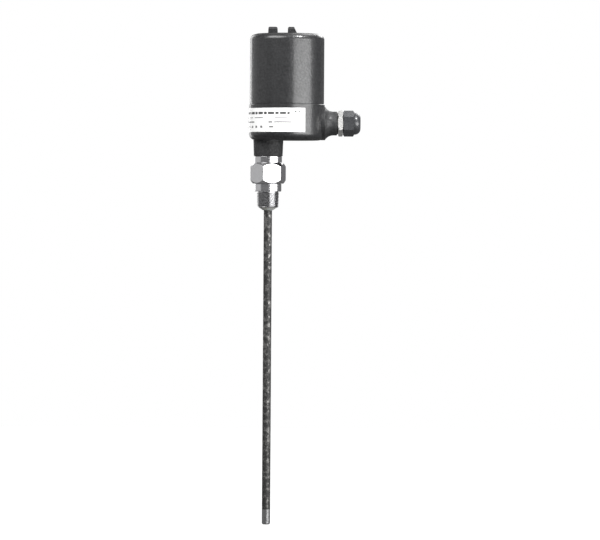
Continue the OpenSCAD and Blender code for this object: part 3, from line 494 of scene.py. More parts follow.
def sheath_dark():
    """Dark scale, darker in the pits of its specks as painted shade, with islands of bare metal."""
    tree, shader, coords = start_finish("sheath_dark")
    islands = effect(tree, mottle, Vector=coords, Size=0.0048, Share=0.38)["Mask"]
    specks = effect(tree, grain, Vector=coords, Size=0.0019, Depth=0.0001)
    bare = times(tree, islands, remap(tree, specks["Mask"], 0.1, 0.9, 0.15, 1.0))
    # Pits of the specks take the darker scale colour: painted shade in each pit.
    scale = mix_colors(tree, specks["Mask"], SCALE_PIT_SHADE, SCALE_LIGHT)
    link(
        tree,
        shader,
        Base_Color=mix_colors(tree, bare, scale, SCALE_BARE),
        Metallic=times(tree, bare, 0.85),
        Roughness=between(tree, bare, 0.56, 0.32),
        Normal=specks["Normal"],
    )


sheath_dark()
print("finishes so far:", len(finishes))

# %% [markdown]
# The plate is enamelled sheet and the liner is pressed board. Enamel is white, smooth and a little glossy,
# with handling marks. Board is made of fibres, so a noise stretched one way and another across it draws them.
# %% Finishes: enamel and pressed board
def plate_white():
    """White enamel with faint handling marks and worn edges."""
    tree, shader, coords = start_finish("plate_white", Coat_Weight=0.2, Coat_Roughness=0.12)
    marks = effect(tree, mottle, Vector=coords, Size=0.005, Share=0.35)["Mask"]
    worn = effect(tree, edge_wear, Vector=coords, Width=0.0003, Patch=0.003)["Mask"]
    color = mix_colors(tree, marks, (0.93, 0.93, 0.92), (0.84, 0.84, 0.82), share=0.25)
    color = mix_colors(tree, worn, color, (0.5, 0.5, 0.5))
    link(tree, shader, Base_Color=color, Roughness=between(tree, marks, 0.24, 0.4))


def liner_board():
    """Felted board: long fibres round it, crossed by upright ones."""
    tree, shader, coords = start_finish("liner_board")
    level = stretched_noise(tree, coords, (300.0, 300.0, 3000.0), 4.0)
    upright = stretched_noise(tree, coords, (2600.0, 2600.0, 260.0), 4.0)
    felt = remap(tree, times(tree, level, upright), 0.15, 0.36)
    color = mix_colors(tree, felt, (0.50, 0.42, 0.26), (0.70, 0.62, 0.42))
    normal = bump(tree, felt, 0.00003)
    link(tree, shader, Base_Color=color, Roughness=between(tree, felt, 0.66, 0.84), Normal=normal)


plate_white()
liner_board()
print("finishes so far:", len(finishes))

# %% [markdown]
# A circuit board is glass cloth in resin under a green mask. The cloth shows through as a fine square weave,
# made from two sine waves, and the saw leaves bare pale resin on the board's edge. The transformer's winding
# is wrapped in amber tape: bands across its height, each with a glossy overlap.
# %% Finishes: board and tape
def board_green(thread=0.0007):
    """Green mask over glass cloth, with bare resin on the upright edges."""
    tree, shader, coords = start_finish("board_green", Coat_Weight=0.3, Coat_Roughness=0.1)
    waves = []
    for axis in ("X", "Y"):
        turns = times(tree, axis_of(tree, coords, axis), 2 * math.pi / thread)
        waves.append(arithmetic(tree, "SINE", turns))
    weave = remap(tree, times(tree, waves[0], waves[1]), -1.0, 1.0)
    cloud = effect(tree, mottle, Vector=coords, Size=0.009, Share=0.5)["Mask"]
    color = mix_colors(tree, weave, (0.014, 0.10, 0.036), (0.026, 0.155, 0.06))
    color = mix_colors(tree, cloud, color, (0.012, 0.085, 0.04), share=0.25)
    normal = add_node(tree, "ShaderNodeNewGeometry").outputs["True Normal"]
    flat = remap(tree, arithmetic(tree, "ABSOLUTE", axis_of(tree, normal, "Z")), 0.4, 0.6)
    color = mix_colors(tree, flat, (0.16, 0.19, 0.09), color)
    cloth = bump(tree, times(tree, weave, flat), 0.000008)
    link(tree, shader, Base_Color=color, Roughness=between(tree, weave, 0.24, 0.34), Normal=cloth)


def coil_tape(turn=0.0032):
    """Amber tape, wound in bands one over the other."""
    tree, shader, coords = start_finish("coil_tape", Coat_Weight=0.4, Coat_Roughness=0.08)
    band = arithmetic(tree, "FRACT", arithmetic(tree, "DIVIDE", axis_of(tree, coords, "Z"), turn))
    wrinkle = effect(tree, grain, Vector=coords, Size=0.0016, Depth=0.00003)
    color = mix_colors(tree, remap(tree, band, 0.0, 0.35), (0.33, 0.16, 0.03), (0.62, 0.38, 0.08))
    overlap = bump(tree, remap(tree, band, 0.0, 0.08), 0.00006, Normal=wrinkle["Normal"])
    gloss = between(tree, wrinkle["Mask"], 0.18, 0.36)
    link(tree, shader, Base_Color=color, Roughness=gloss, Normal=overlap)


board_green()
coil_tape()
print("finishes so far:", len(finishes))

# %% [markdown]
# A capacitor is an aluminium can in a dark sleeve with a pale stripe down one side, which marks the minus
# lead. Glass keeps a plain transmission, and each lamp is a tinted lens that glows a little on its own.
# %% Finishes: can, glass and lamps
def can_dark():
    """The can's dark plastic sleeve, darker in the pits of its grain as painted shade."""
    tree, shader, coords = start_finish("can_dark", Coat_Weight=0.3, Coat_Roughness=0.1)
    skin = effect(tree, grain, Vector=coords, Size=0.0012, Depth=0.000012)
    # Pits of the grain take the darker sleeve colour: painted shade in each pit.
    color = mix_colors(tree, skin["Mask"], (0.022, 0.036, 0.062), (0.04, 0.06, 0.095))
    gloss = between(tree, skin["Mask"], 0.24, 0.36)
    link(tree, shader, Base_Color=color, Roughness=gloss, Normal=skin["Normal"])


def fuse_glass():
    """Clear glass with a few smears."""
    tint = (0.93, 0.96, 0.95, 1.0)
    tree, shader, coords = start_finish("fuse_glass", Base_Color=tint, Transmission_Weight=1.0, IOR=1.47)
    smear = effect(tree, mottle, Vector=coords, Size=0.003, Share=0.35)["Mask"]
    link(tree, shader, Roughness=between(tree, smear, 0.03, 0.14))


def lamp_lens(slot, color):
    """A tinted lens that glows a little."""
    tree, shader, coords = start_finish(slot, Transmission_Weight=0.35, Emission_Strength=0.25)
    depth = effect(tree, grain, Vector=coords, Size=0.0012, Depth=0.000005)
    tint = mix_colors(tree, depth["Mask"], tuple(0.55 * c for c in color), color)
    gloss = between(tree, depth["Mask"], 0.12, 0.26)
    link(tree, shader, Base_Color=tint, Emission_Color=tint, Roughness=gloss)


can_dark()
fuse_glass()
lamp_lens("lamp_green", (0.09, 0.55, 0.14))
lamp_lens("lamp_red", (0.62, 0.045, 0.035))
print("finishes so far:", len(finishes))

# %% [markdown]
# Some of the small things that are added have a finish of their own: soft solder, the mask over a track, the
# print on boards and plate, the resistors' lacquer and the clean end of a capacitor's can.
# %% Finishes of the small added pieces
plated_metal("solder", (0.66, 0.66, 0.65), 0.26, (0.45, 0.45, 0.43), 0.4, patch=0.001)
plated_metal("can_top", (0.7, 0.7, 0.71), 0.28, (0.5, 0.5, 0.5), 0.4)
moulded("track_green", (0.035, 0.20, 0.075), 0.26, size=0.0005, depth=0.000004)
moulded("print_pale", (0.72, 0.72, 0.68), 0.5, drift=0.1)
moulded("print_dark", (0.06, 0.06, 0.06), 0.5, drift=0.15)
moulded("print_grey", (0.19, 0.19, 0.19), 0.5, drift=0.15)
moulded("resistor_tan", (0.55, 0.40, 0.22), 0.35, drift=0.12)
moulded("band_brown", (0.16, 0.05, 0.02), 0.35)
moulded("band_red", (0.45, 0.03, 0.02), 0.35)
print("finishes:", len(finishes))

# %% [markdown]
# Each solid takes the finish that the record names for it. Real castings and machined parts have no knife
# edges, and a broken edge is what catches a line of light. The solids were drawn with their breaks and
# fillets, so no modifier has to round them here, and every piece keeps the exact size that its neighbours
# were fitted to.
# %% Finishes onto the solids
for part in frame["record"]["subparts"]:
    nodes[part["node"]].material_slots[0].material = finishes[part["material_slot"]]

# %% [markdown]
# Solids can't carry everything: a real thread, a wire or a line of print would swamp them. Those pieces are
# modelled here. However it was shaped, a mesh ends the same way: doubles are merged, normals point outward, it
# gets its finish, and it rides on a body. Some pieces that stand for a solid or sit on a board read their
# place from the solid.
# %% Making a piece
WELD = 1e-6
SHARP_FROM = math.radians(32)


def span(name, axis):
    """Lowest and highest place of a solid along an axis, in millimetres."""
    return [round(corner["XYZ".index(axis)] / MM, 2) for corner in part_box(name)]


def make_piece(bm, name, finish, body):
    """Makes an object of a bmesh, with its normals outward, its finish and the body that it moves with."""
    bmesh.ops.remove_doubles(bm, verts=bm.verts, dist=WELD)
    bmesh.ops.recalc_face_normals(bm, faces=bm.faces)
    mesh = bpy.data.meshes.new(name)
    bm.to_mesh(mesh)
    bm.free()
    mesh.materials.append(finishes[finish])
    mesh.shade_smooth()
    mesh.set_sharp_from_angle(angle=SHARP_FROM)
    piece = add_object(name, mesh)
    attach(piece, body)
    print(name, "has", len(mesh.polygons), "faces")
    return piece


print("the cover stands from", *span("cover", "Z"), "mm")

# %% [markdown]
# A designer's first shapes are a turned part, a block and a round bar. Lengths are in millimetres inside the
# helpers, as on a drawing, and turn into metres once, where a vertex is made. A place is a matrix: the axis
# of the housing, or one that lays a turned part along X.
# %% Turned parts, blocks and bars
STEPS = 96
HOUSING_X = 22
HOUSING = Matrix.Translation((HOUSING_X * MM, 0, 0))
ALONG_X = Matrix.Rotation(math.radians(90), 4, "Y")
AT_ORIGIN = Matrix.Identity(4)


def add_turned(bm, outline, place=AT_ORIGIN, steps=STEPS, closed=False):
    """Spins an outline of (radius, height) points round the Z axis of a place."""
    verts = [bm.verts.new(place @ Vector((radius * MM, 0, height * MM))) for radius, height in outline]
    pairs = list(zip(verts, verts[1:]))
    if closed:
        pairs.append((verts[-1], verts[0]))
    edges = [bm.edges.new(pair) for pair in pairs]
    axis = place.to_3x3() @ Vector((0, 0, 1))
    bmesh.ops.spin(bm, geom=verts + edges, cent=place.translation, axis=axis, angle=2 * math.pi, steps=steps,
                   use_merge=True, use_duplicate=False)


def add_block(bm, low, high, place=AT_ORIGIN):
    """A box between two corners."""
    low, high = Vector(low) * MM, Vector(high) * MM
    shape = Matrix.Translation((low + high) / 2) @ Matrix.Diagonal((*(high - low), 1.0))
    bmesh.ops.create_cube(bm, size=1.0, matrix=place @ shape)


def add_rod(bm, radius, low, high, place, sides):
    """A round bar along Z between two heights."""
    add_turned(bm, [(0, low), (radius, low), (radius, high), (0, high)], place, sides)


print("the housing's axis stands at x =", HOUSING_X, "mm")

# %% [markdown]
# The fitting is the brightest thing in the picture, so it is modelled whole. On a lathe it starts as one
# turned blank, and a mill then cuts six flats through the blank's thickest part. The mesh follows the same
# order: spin the half section, cut six planes through it, close each cut, and break the sharp edges.
# %% Process fitting, blank and flats
FIT_BORE = 8.0
THREAD_LOW, THREAD_HIGH = -19.0, -1.2
RELIEF_R = 12.2
FLAT_DISTANCE, FLATS, FIRST_FLAT = 19.0, 6, 44
BREAK, CORNER_BREAK, BREAK_ANGLE = 0.25, 0.6, 34
BLANK = [
    (RELIEF_R, THREAD_HIGH), (RELIEF_R, 0), (15.3, 0), (16, 0.7), (16, 8.8), (15.3, 9.5),
    (18.34, 9.5), (22.3, 14.34), (22.3, 29.16), (18.34, 34),
    (15.8, 34), (16.5, 34.7), (16.5, 41.8), (15.8, 42.5),
    (15.3, 42.5), (15.3, 40.9), (13.3, 40.9), (13.3, 42.5),
    (12.95, 42.5), (12.95, 59.6), (12.55, 60), (FIT_BORE, 60), (FIT_BORE, THREAD_LOW),
]


def cut_off(bm, point, facing):
    """Cuts away what lies beyond a plane. Gives the edges of the cut."""
    everything = bm.verts[:] + bm.edges[:] + bm.faces[:]
    cut = bmesh.ops.bisect_plane(bm, geom=everything, plane_co=point, plane_no=facing, clear_outer=True)
    return [part for part in cut["geom_cut"] if isinstance(part, bmesh.types.BMEdge)]


def mill_flats(bm):
    """Cuts the flats of the hexagon and closes each cut."""
    for index in range(FLATS):
        turn = math.radians(FIRST_FLAT + index * 360 / FLATS)
        facing = Vector((math.cos(turn), math.sin(turn), 0))
        bmesh.ops.edgeloop_fill(bm, edges=cut_off(bm, facing * FLAT_DISTANCE * MM, facing))


def break_edges(bm, width, upright=False):
    """Bevels the sharp edges, all of them or the upright ones, and counts them."""
    bmesh.ops.recalc_face_normals(bm, faces=bm.faces)
    limit = math.radians(BREAK_ANGLE)
    sharp = [edge for edge in bm.edges if len(edge.link_faces) == 2 and edge.calc_face_angle() > limit]
    if upright:
        sharp = [edge for edge in sharp if (edge.verts[0].co - edge.verts[1].co).xy.length < WELD]
    bmesh.ops.bevel(bm, geom=sharp, offset=width * MM, segments=3, profile=0.5, affect="EDGES", material=-1,
                    clamp_overlap=True)
    return len(sharp)


fitting = bmesh.new()
add_turned(fitting, BLANK)
mill_flats(fitting)
print("corners broken on the fitting:", break_edges(fitting, CORNER_BREAK, upright=True))
print("edges broken on the fitting:", break_edges(fitting, BREAK))

# %% [markdown]
# The thread is a real helix. One pitch of its section is wound round the axis, with the turns welded where
# they meet. Two more rules make it a taper pipe thread: its radius grows with height, and a chamfer cone cuts
# the first turns. A plane at each end trims it.
# %% Process fitting, taper thread
THREAD_PITCH = 25.4 / 14
CREST_R, THREAD_DEPTH = 13.6, 1.16
TAPER = 1 / 32
CHAMFER_R = 11.806


def wind_section(bm, section, pitch, turns, low):
    """Winds a section of (radius, height) points upward round the Z axis, as a right-hand helix."""
    verts = [bm.verts.new((radius * MM, 0, (low + height) * MM)) for radius, height in section]
    edges = [bm.edges.new(pair) for pair in zip(verts, verts[1:])]
    bmesh.ops.spin(bm, geom=verts + edges, cent=(0, 0, 0), axis=(0, 0, 1), dvec=(0, 0, pitch * MM / STEPS),
                   angle=2 * math.pi * turns, steps=STEPS * turns, use_merge=False, use_duplicate=False)
    bmesh.ops.remove_doubles(bm, verts=bm.verts, dist=WELD)


def taper_thread():
    """A tapered and chamfered thread, open at both ends."""
    bm = bmesh.new()
    root_r = CREST_R - THREAD_DEPTH
    shape = [(root_r, 0), (root_r, 0.08), (CREST_R, 0.44), (CREST_R, 0.56), (root_r, 0.92), (root_r, 1)]
    turns = math.ceil((THREAD_HIGH - THREAD_LOW) / THREAD_PITCH) + 2
    section = [(radius, share * THREAD_PITCH) for radius, share in shape]
    wind_section(bm, section, THREAD_PITCH, turns, THREAD_LOW - THREAD_PITCH)
    for vert in bm.verts:
        height, radius = vert.co.z / MM, vert.co.xy.length / MM
        wanted = min(radius + height * TAPER, CHAMFER_R + height - THREAD_LOW)
        vert.co.xy *= wanted / radius
    for height, way in ((THREAD_LOW, -1), (THREAD_HIGH, 1)):
        cut_off(bm, Vector((0, 0, height * MM)), Vector((0, 0, way)))
    return bm


thread = taper_thread()
print("faces on the taper thread:", len(thread.faces))

# %% [markdown]
# Blank and thread become one closed piece: the rims where they meet are bridged at both ends. The milled
# flats are large and lie beside narrow bevels, which would bend their shading. A Weighted Normal modifier
# lets the large faces decide, so a flat reflects like a flat.
# %% Process fitting, one closed piece
def take_in(bm, other):
    """Copies another bmesh into this one, and frees it."""
    mesh = bpy.data.meshes.new("taken in")
    other.to_mesh(mesh)
    other.free()
    bm.from_mesh(mesh)
    bpy.data.meshes.remove(mesh)


def bridge_rims(bm, height, reach=0.01):
    """Joins the open rims that lie at one height, and counts their edges."""
    rims = [edge for edge in bm.edges
            if edge.is_boundary and all(abs(vert.co.z / MM - height) < reach for vert in edge.verts)]
    bmesh.ops.bridge_loops(bm, edges=rims)
    return len(rims)


take_in(fitting, thread)
print("rim edges bridged:", bridge_rims(fitting, THREAD_LOW), bridge_rims(fitting, THREAD_HIGH))
print("open edges left:", sum(edge.is_boundary for edge in fitting.edges))
fitting_piece = make_piece(fitting, "fitting_threaded", "stainless", "base")
even = fitting_piece.modifiers.new("even shading", "WEIGHTED_NORMAL")
even.keep_sharp = True
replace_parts(fitting_piece, "process_fitting")

# %% [markdown]
# The cover screws onto the base with a fine thread, and the gland nut screws onto its stud. The solids keep
# these joints plain, so each gets a low helical ridge that lies in the clearance. The ridges of the base and
# the cover stand half a pitch apart, so they run past each other as the cover turns.
# %% Thread ridges of the cover and the gland
RIDGE_H = 0.22
SPIGOT_R, SKIRT_R, STUD_R = 40.2, 40.5, 11.0
COVER_PITCH, STUD_PITCH = 2.0, 1.5
SPIGOT_LOW = 106.4
SKIRT_LOW = SPIGOT_LOW + COVER_PITCH / 2
STUD_PLACE = Matrix.Translation(Vector((89.9, 0, 81.9)) * MM) @ ALONG_X
RIDGES = [
    ("spigot_thread", "painted_casting", "base", HOUSING, SPIGOT_R, RIDGE_H, COVER_PITCH, SPIGOT_LOW, 5),
    ("cover_thread", "painted_casting", "cover", HOUSING, SKIRT_R, -RIDGE_H, COVER_PITCH, SKIRT_LOW, 5),
    ("stud_thread", "plated_brass", "base", STUD_PLACE, STUD_R, RIDGE_H, STUD_PITCH, 0, 6),
]


def add_ridge(bm, radius, rise, pitch, low, turns):
    """A closed ridge wound round the Z axis. A negative rise points inward."""
    foot = radius - 0.4 * rise
    shape = [(foot, 0.1), (radius + rise, 0.42), (radius + rise, 0.58), (foot, 0.9), (foot, 0.1)]
    wind_section(bm, [(r, share * pitch) for r, share in shape], pitch, turns, low)
    bmesh.ops.holes_fill(bm, edges=[edge for edge in bm.edges if edge.is_boundary])


for name, finish, body, place, *sizes in RIDGES:
    ridge = bmesh.new()
    add_ridge(ridge, *sizes)
    bmesh.ops.transform(ridge, matrix=place, verts=ridge.verts)
    make_piece(ridge, name, finish, body)

# %% [markdown]
# The plate carries rows of print in the photograph. Words and names are left out, so plain bars stand for
# them: a dark row, two faint rows and five small marks, each where the photograph shows ink. A bar is a patch
# of a cylinder a hair above the plate, built as a grid and bent round the housing axis. Each row below has
# its two heights, and then the angles between which its bars run.
# %% Print on the nameplate
PRINT_R = 45.965
PLATE_ROWS = {
    "print_dark": {
        (91.9, 94.7): [(-171, -163), (-161, -157), (-155, -146), (-144, -139), (-137, -128), (-126, -121),
                       (-119, -109), (-107, -102), (-100, -91), (-89, -85.5)],
        (94, 96): [(-78, -75), (-72.5, -70)],
    },
    "print_grey": {
        (87.4, 88.3): [(-171, -151), (-146, -128), (-108, -88)],
        (81.9, 83.4): [(-170, -147), (-109, -82), (-80, -68)],
        (81.7, 83.6): [(-118, -112)],
        (75.7, 78.3): [(-166, -161), (-154.5, -150), (-144, -140), (-133, -129)],
        (76, 78): [(-117, -110)],
    },
}


def add_bent_bar(bm, start, end, low, high, radius, place):
    """A thin bar on a cylinder round the Z axis of a place, between two angles and two heights."""
    columns = max(2, round((end - start) / 2))
    made = bmesh.ops.create_grid(bm, x_segments=columns, y_segments=1, size=0.5)
    for vert in made["verts"]:
        turn = math.radians(start + (vert.co.x + 0.5) * (end - start))
        height = low + (vert.co.y + 0.5) * (high - low)
        vert.co = place @ (Vector((radius * math.cos(turn), radius * math.sin(turn), height)) * MM)


for ink, rows in PLATE_ROWS.items():
    plate_print = bmesh.new()
    for (low, high), bars in rows.items():
        for start, end in bars:
            add_bent_bar(plate_print, start, end, low, high, PRINT_R, HOUSING)
    make_piece(plate_print, "plate_" + ink, ink, "base")

# %% [markdown]
# The lead from the rod to the board is a stranded wire in red rubber. It hangs in a loose bend, so it is a
# wire swept along a smooth curve. The curve passes through the same points that the solid's straight links
# have. A wire is a row of circles, one at each point of the path, and each is bridged to the one before.
# %% Probe lead
LEAD_R = 1.1
LEAD_POINTS = [
    (8.4, 0, 71.1), (11.4, 0, 71.1), (14, 0, 72.5), (15.7, 0, 75.6), (15.4, 0, 79.6), (12.4, 0, 84.6),
    (7.8, 0, 88.6), (4.9, 0, 92.6), (4.1, 0, 98.6), (4, 0, 103.8),
]


def smooth_path(points, per_span=6):
    """Points on a Catmull-Rom curve through the given ones."""
    spots = [Vector(point) for point in points]
    padded = [spots[0]] + spots + [spots[-1]]
    path = []
    for a, b, c, d in zip(padded, padded[1:], padded[2:], padded[3:]):
        for step in range(per_span):
            t = step / per_span
            path.append(0.5 * (2 * b + (c - a) * t + (2 * a - 5 * b + 4 * c - d) * t * t
                               + (3 * b - a - 3 * c + d) * t * t * t))
    return path + [spots[-1]]


def add_wire(bm, path, radius, sides, place=AT_ORIGIN):
    """A round wire along a path that lies in the XZ plane of a place."""
    side = Vector((0, 1, 0))
    last_rim = []
    for index, spot in enumerate(path):
        before, after = path[max(index - 1, 0)], path[min(index + 1, len(path) - 1)]
        ahead = (after - before).normalized()
        facing = Matrix((side.cross(ahead), side, ahead)).transposed().to_4x4()
        there = place @ Matrix.Translation(spot * MM) @ facing
        circle = bmesh.ops.create_circle(
            bm, cap_ends=spot in (before, after), segments=sides, radius=radius * MM, matrix=there
        )
        rim = list({edge for vert in circle["verts"] for edge in vert.link_edges})
        if last_rim:
            bmesh.ops.bridge_loops(bm, edges=last_rim + rim)
        last_rim = rim


lead = bmesh.new()
add_wire(lead, smooth_path(LEAD_POINTS), LEAD_R, 14)
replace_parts(make_piece(lead, "lead_smooth", "lead_red", "base"), "probe_lead")

# %% [markdown]
# A cartridge fuse is a glass tube between two metal caps, with a hair of wire inside that one can see. The
# solid is a plain bar, so three pieces stand for it: the hollow tube, the caps and the wire.
# %% Fuse
fuse_start, fuse_end = span("fuse", "X")
FUSE_LEN = fuse_end - fuse_start
fuse_foot = Vector((fuse_start, sum(span("fuse", "Y")) / 2, sum(span("fuse", "Z")) / 2))
FUSE_PLACE = Matrix.Translation(fuse_foot * MM) @ ALONG_X
CAP_LEN, CAP_R, CAP_WALL, CAP_ROUND = 4.6, 2.6, 0.6, 0.3
GLASS_R, GLASS_WALL, GLASS_SHORT = 2.4, 0.4, 1
FIT_GAP = 0.02
FUSE_WIRE_R, FUSE_WIRE_SHORT = 0.12, 0.8

glass = bmesh.new()
inner, low, high = GLASS_R - GLASS_WALL, GLASS_SHORT, FUSE_LEN - GLASS_SHORT
add_turned(glass, [(inner, low), (GLASS_R, low), (GLASS_R, high), (inner, high)], FUSE_PLACE, 32, closed=True)
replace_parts(make_piece(glass, "fuse_tube", "fuse_glass", "base"), "fuse")

caps = bmesh.new()
for end, way in ((0, 1), (FUSE_LEN, -1)):
    rim, floor = end + way * CAP_LEN, end + way * CAP_WALL
    add_turned(caps, [(0, end), (CAP_R - CAP_ROUND, end), (CAP_R, end + way * CAP_ROUND), (CAP_R, rim),
                      (GLASS_R + FIT_GAP, rim), (GLASS_R + FIT_GAP, floor), (0, floor)], FUSE_PLACE, 32)
make_piece(caps, "fuse_caps", "bright_steel", "base")

fuse_wire = bmesh.new()
add_rod(fuse_wire, FUSE_WIRE_R, FUSE_WIRE_SHORT, FUSE_LEN - FUSE_WIRE_SHORT, FUSE_PLACE, 8)
make_piece(fuse_wire, "fuse_wire", "bright_steel", "base")

# %% [markdown]
# Everything on the two boards is placed from the housing's axis, seen from above. A part that is a solid of
# its own gives its place. Chips and capacitors share a node each, so their places are written down again.
# %% Places on the boards
BOARD1_LOW, BOARD1_TOP = span("power_board", "Z")
BOARD2_LOW, BOARD2_TOP = span("signal_board", "Z")
CHIP_SPOTS = [(-22, 0), (2, -3), (2, 7.5)]
CAN_SPOTS = [(9, 9), (20.5, 5), (4, 20.5)]


def spot_of(name):
    """The middle of a solid seen from above, from the housing's axis."""
    return sum(span(name, "X")) / 2 - HOUSING_X, sum(span(name, "Y")) / 2


def around(spots, offsets):
    """Every offset from every spot."""
    return [(x + dx, y + dy) for x, y in spots for dx, dy in offsets]


def on_board(spot, height):
    """A place in the housing, over a spot and at a height."""
    return HOUSING @ Matrix.Translation(Vector((*spot, height)) * MM)


TRIMMER_SPOTS = [spot_of("sensitivity_trimmer"), spot_of("delay_trimmer")]
SWITCH_SPOT, CORE_SPOT = spot_of("failsafe_switch"), spot_of("transformer_core")
RELAY_SPOT, FUSE_SPOT = spot_of("relay"), spot_of("fuse")
print("relay at", RELAY_SPOT, "fuse at", FUSE_SPOT, "boards' tops at", BOARD1_TOP, BOARD2_TOP)

# %% [markdown]
# Chips stand on bent legs. A leg leaves the body half-way up as a wide strip, turns down and narrows into the
# board. Three blocks make one leg: the strip, the bend and the foot. A loop repeats it at an even pitch on
# both sides of each chip. A block below has where it starts, its width and its two heights.
# %% Chip legs
CHIP_W, LEG_PITCH, LEG_ROWS = 6.4, 2.286, (-1.5, -0.5, 0.5, 1.5)
LEG_ROOT, LEG_OUT = CHIP_W / 2 - 0.3, CHIP_W / 2 + 0.75
LEG_SHEET, LEG_WIDE, LEG_NARROW = 0.25, 1.2, 0.5
LEG_KNEE, LEG_HIP = 0.7, 1.5
LEG_BLOCKS = [
    (LEG_ROOT, LEG_WIDE, LEG_HIP, LEG_HIP + LEG_SHEET),
    (LEG_OUT - LEG_SHEET, LEG_WIDE, LEG_KNEE, LEG_HIP + LEG_SHEET),
    (LEG_OUT - LEG_SHEET, LEG_NARROW, 0, LEG_KNEE),
]

legs = bmesh.new()
for spot in around(CHIP_SPOTS, [(0, row * LEG_PITCH) for row in LEG_ROWS]):
    for side in (-1, 1):
        for inner, wide, low, high in LEG_BLOCKS:
            near, far = sorted((side * inner, side * LEG_OUT))
            add_block(legs, (near, -wide / 2, low), (far, wide / 2, high), on_board(spot, BOARD2_TOP))
make_piece(legs, "chip_legs", "solder", "base")

# %% [markdown]
# Resistors are small lacquered dumb-bells with colour bands, and diodes are black cylinders with one pale
# band. Each lies between two bent wires. They are set where the boards have room, in the rows that a designer
# would choose, and the same loop makes all of them. A part below has its kind, its spot and its turn. A band
# has its colour, its middle along the part, its radius and its width.
# %% Resistors and diodes
AXIAL_PARTS = {
    BOARD2_TOP: [
        ("resistor", (-17, 12.5), 90), ("resistor", (-20.2, 12.5), 90), ("resistor", (-17, -12.5), 90),
        ("resistor", (-20.2, -12.5), 90), ("resistor", (8.7, -8), 90), ("resistor", (8.7, 8.5), 90),
        ("diode", (-2, -17), 0), ("diode", (-2, 17.5), 0),
    ],
    BOARD1_TOP: [
        ("diode", (11.5, 19), 90), ("diode", (14.3, 19), 90), ("diode", (17, 18), 90),
        ("resistor", (-24, 11), 90), ("resistor", (-22, -15), 0),
    ],
}
OUTLINES = {
    "resistor": [(0, -3), (0.9, -3), (1.2, -2.7), (1.2, -1.9), (0.95, -1.6),
                 (0.95, 1.6), (1.2, 1.9), (1.2, 2.7), (0.9, 3), (0, 3)],
    "diode": [(0, -2.2), (1.15, -2.2), (1.25, -2.1), (1.25, 2.1), (1.15, 2.2), (0, 2.2)],
}
BANDS = {
    "resistor": [("band_brown", -2.3, 1.23, 0.5), ("print_dark", -0.9, 0.98, 0.45),
                 ("band_red", 0.1, 0.98, 0.45), ("solder", 1.1, 0.98, 0.45)],
    "diode": [("print_pale", 1.5, 1.28, 0.5)],
}
WIRE_R, WIRE_SPAN, AXIAL_RISE = 0.28, 4.4, 1.35
WIRE_POINTS = [(2, 0), (WIRE_SPAN - 0.5, 0), (WIRE_SPAN, -0.5), (WIRE_SPAN, -AXIAL_RISE)]

bodies = {kind: bmesh.new() for kind in OUTLINES}
bands = {finish: bmesh.new() for kind in BANDS for finish, *_ in BANDS[kind]}
wires = bmesh.new()
for top, parts in AXIAL_PARTS.items():
    for kind, spot, turn in parts:
        place = on_board(spot, top + AXIAL_RISE) @ Matrix.Rotation(math.radians(turn), 4, "Z")
        add_turned(bodies[kind], OUTLINES[kind], place @ ALONG_X, 20)
        for finish, middle, radius, width in BANDS[kind]:
            add_rod(bands[finish], radius, middle - width / 2, middle + width / 2, place @ ALONG_X, 20)
        for side in (-1, 1):
            add_wire(wires, [Vector((side * x, 0, z)) for x, z in WIRE_POINTS], WIRE_R, 8, place)
make_piece(bodies["resistor"], "resistors", "resistor_tan", "base")
make_piece(bodies["diode"], "diodes", "part_black", "base")
make_piece(wires, "part_wires", "solder", "base")
for finish, bm in bands.items():
    make_piece(bm, "bands_" + finish, finish, "base")

# %% [markdown]
# A board is not blank between its parts: copper tracks under the green mask link the pads. They could be
# painted into the board's material as a pattern, but a track has to meet a pad, so each is a list of corners,
# and flat strips are laid from corner to corner. They are only hundredths of a millimetre high, but the light
# finds them. The paired tracks run on both sides of the board's middle line.
# %% Tracks
TRACK_W, TRACK_H, SUNK = 0.75, 0.04, 0.02
SIGNAL_TRACKS = [
    [(11.6, -12.7), (9.9, -11.4), (7.2, -11.4), (5.9, -6.4)],
    [(11.6, -7.6), (10.6, -6.6), (10.6, 2.5), (7, 4.4), (5.9, 4.4)],
    [(11.6, -2.5), (7.6, -0.4), (5.9, -0.4)],
    [(11.6, 2.5), (11, 5.2), (7, 10.8), (5.9, 10.8)],
    [(11.6, 12.7), (9, 15.8), (5, 18.8), (3, 19.4)],
    [(3, -19.4), (5, -17.8), (9.6, -15.6), (11.6, -12.7)],
    [(-2, -6.4), (-3.6, -8), (-4.3, -10.2)], [(-2, 4.4), (-4.6, 6.6), (-5.6, 10.2)],
    [(-2, -0.4), (-4.4, -0.4), (-5.8, -0.4)], [(-12.2, 0), (-16, 0.8), (-18, 1.4)],
    [(-6.4, 17.5), (-4, 22), (1, 22.6), (3, 22.4)], [(-6.4, -17), (-4, -22), (1, -22.6), (3, -22.4)],
    [(-9, 22), (-9, 25.5), (-2, 28.6), (8, 28.6), (13, 25.6)],
    [(-9, -22), (-9, -25.5), (-2, -28.6), (8, -28.6)],
]
PAIRED_TRACKS = [
    [(-12.2, 4), (-14.4, 6.2), (-17, 8.1)],
    [(-26, 3.4), (-27.4, 5), (-24.6, 8.1), (-20.2, 8.1)],
    [(-20.2, 16.9), (-17, 16.9), (-14, 18.4)],
]
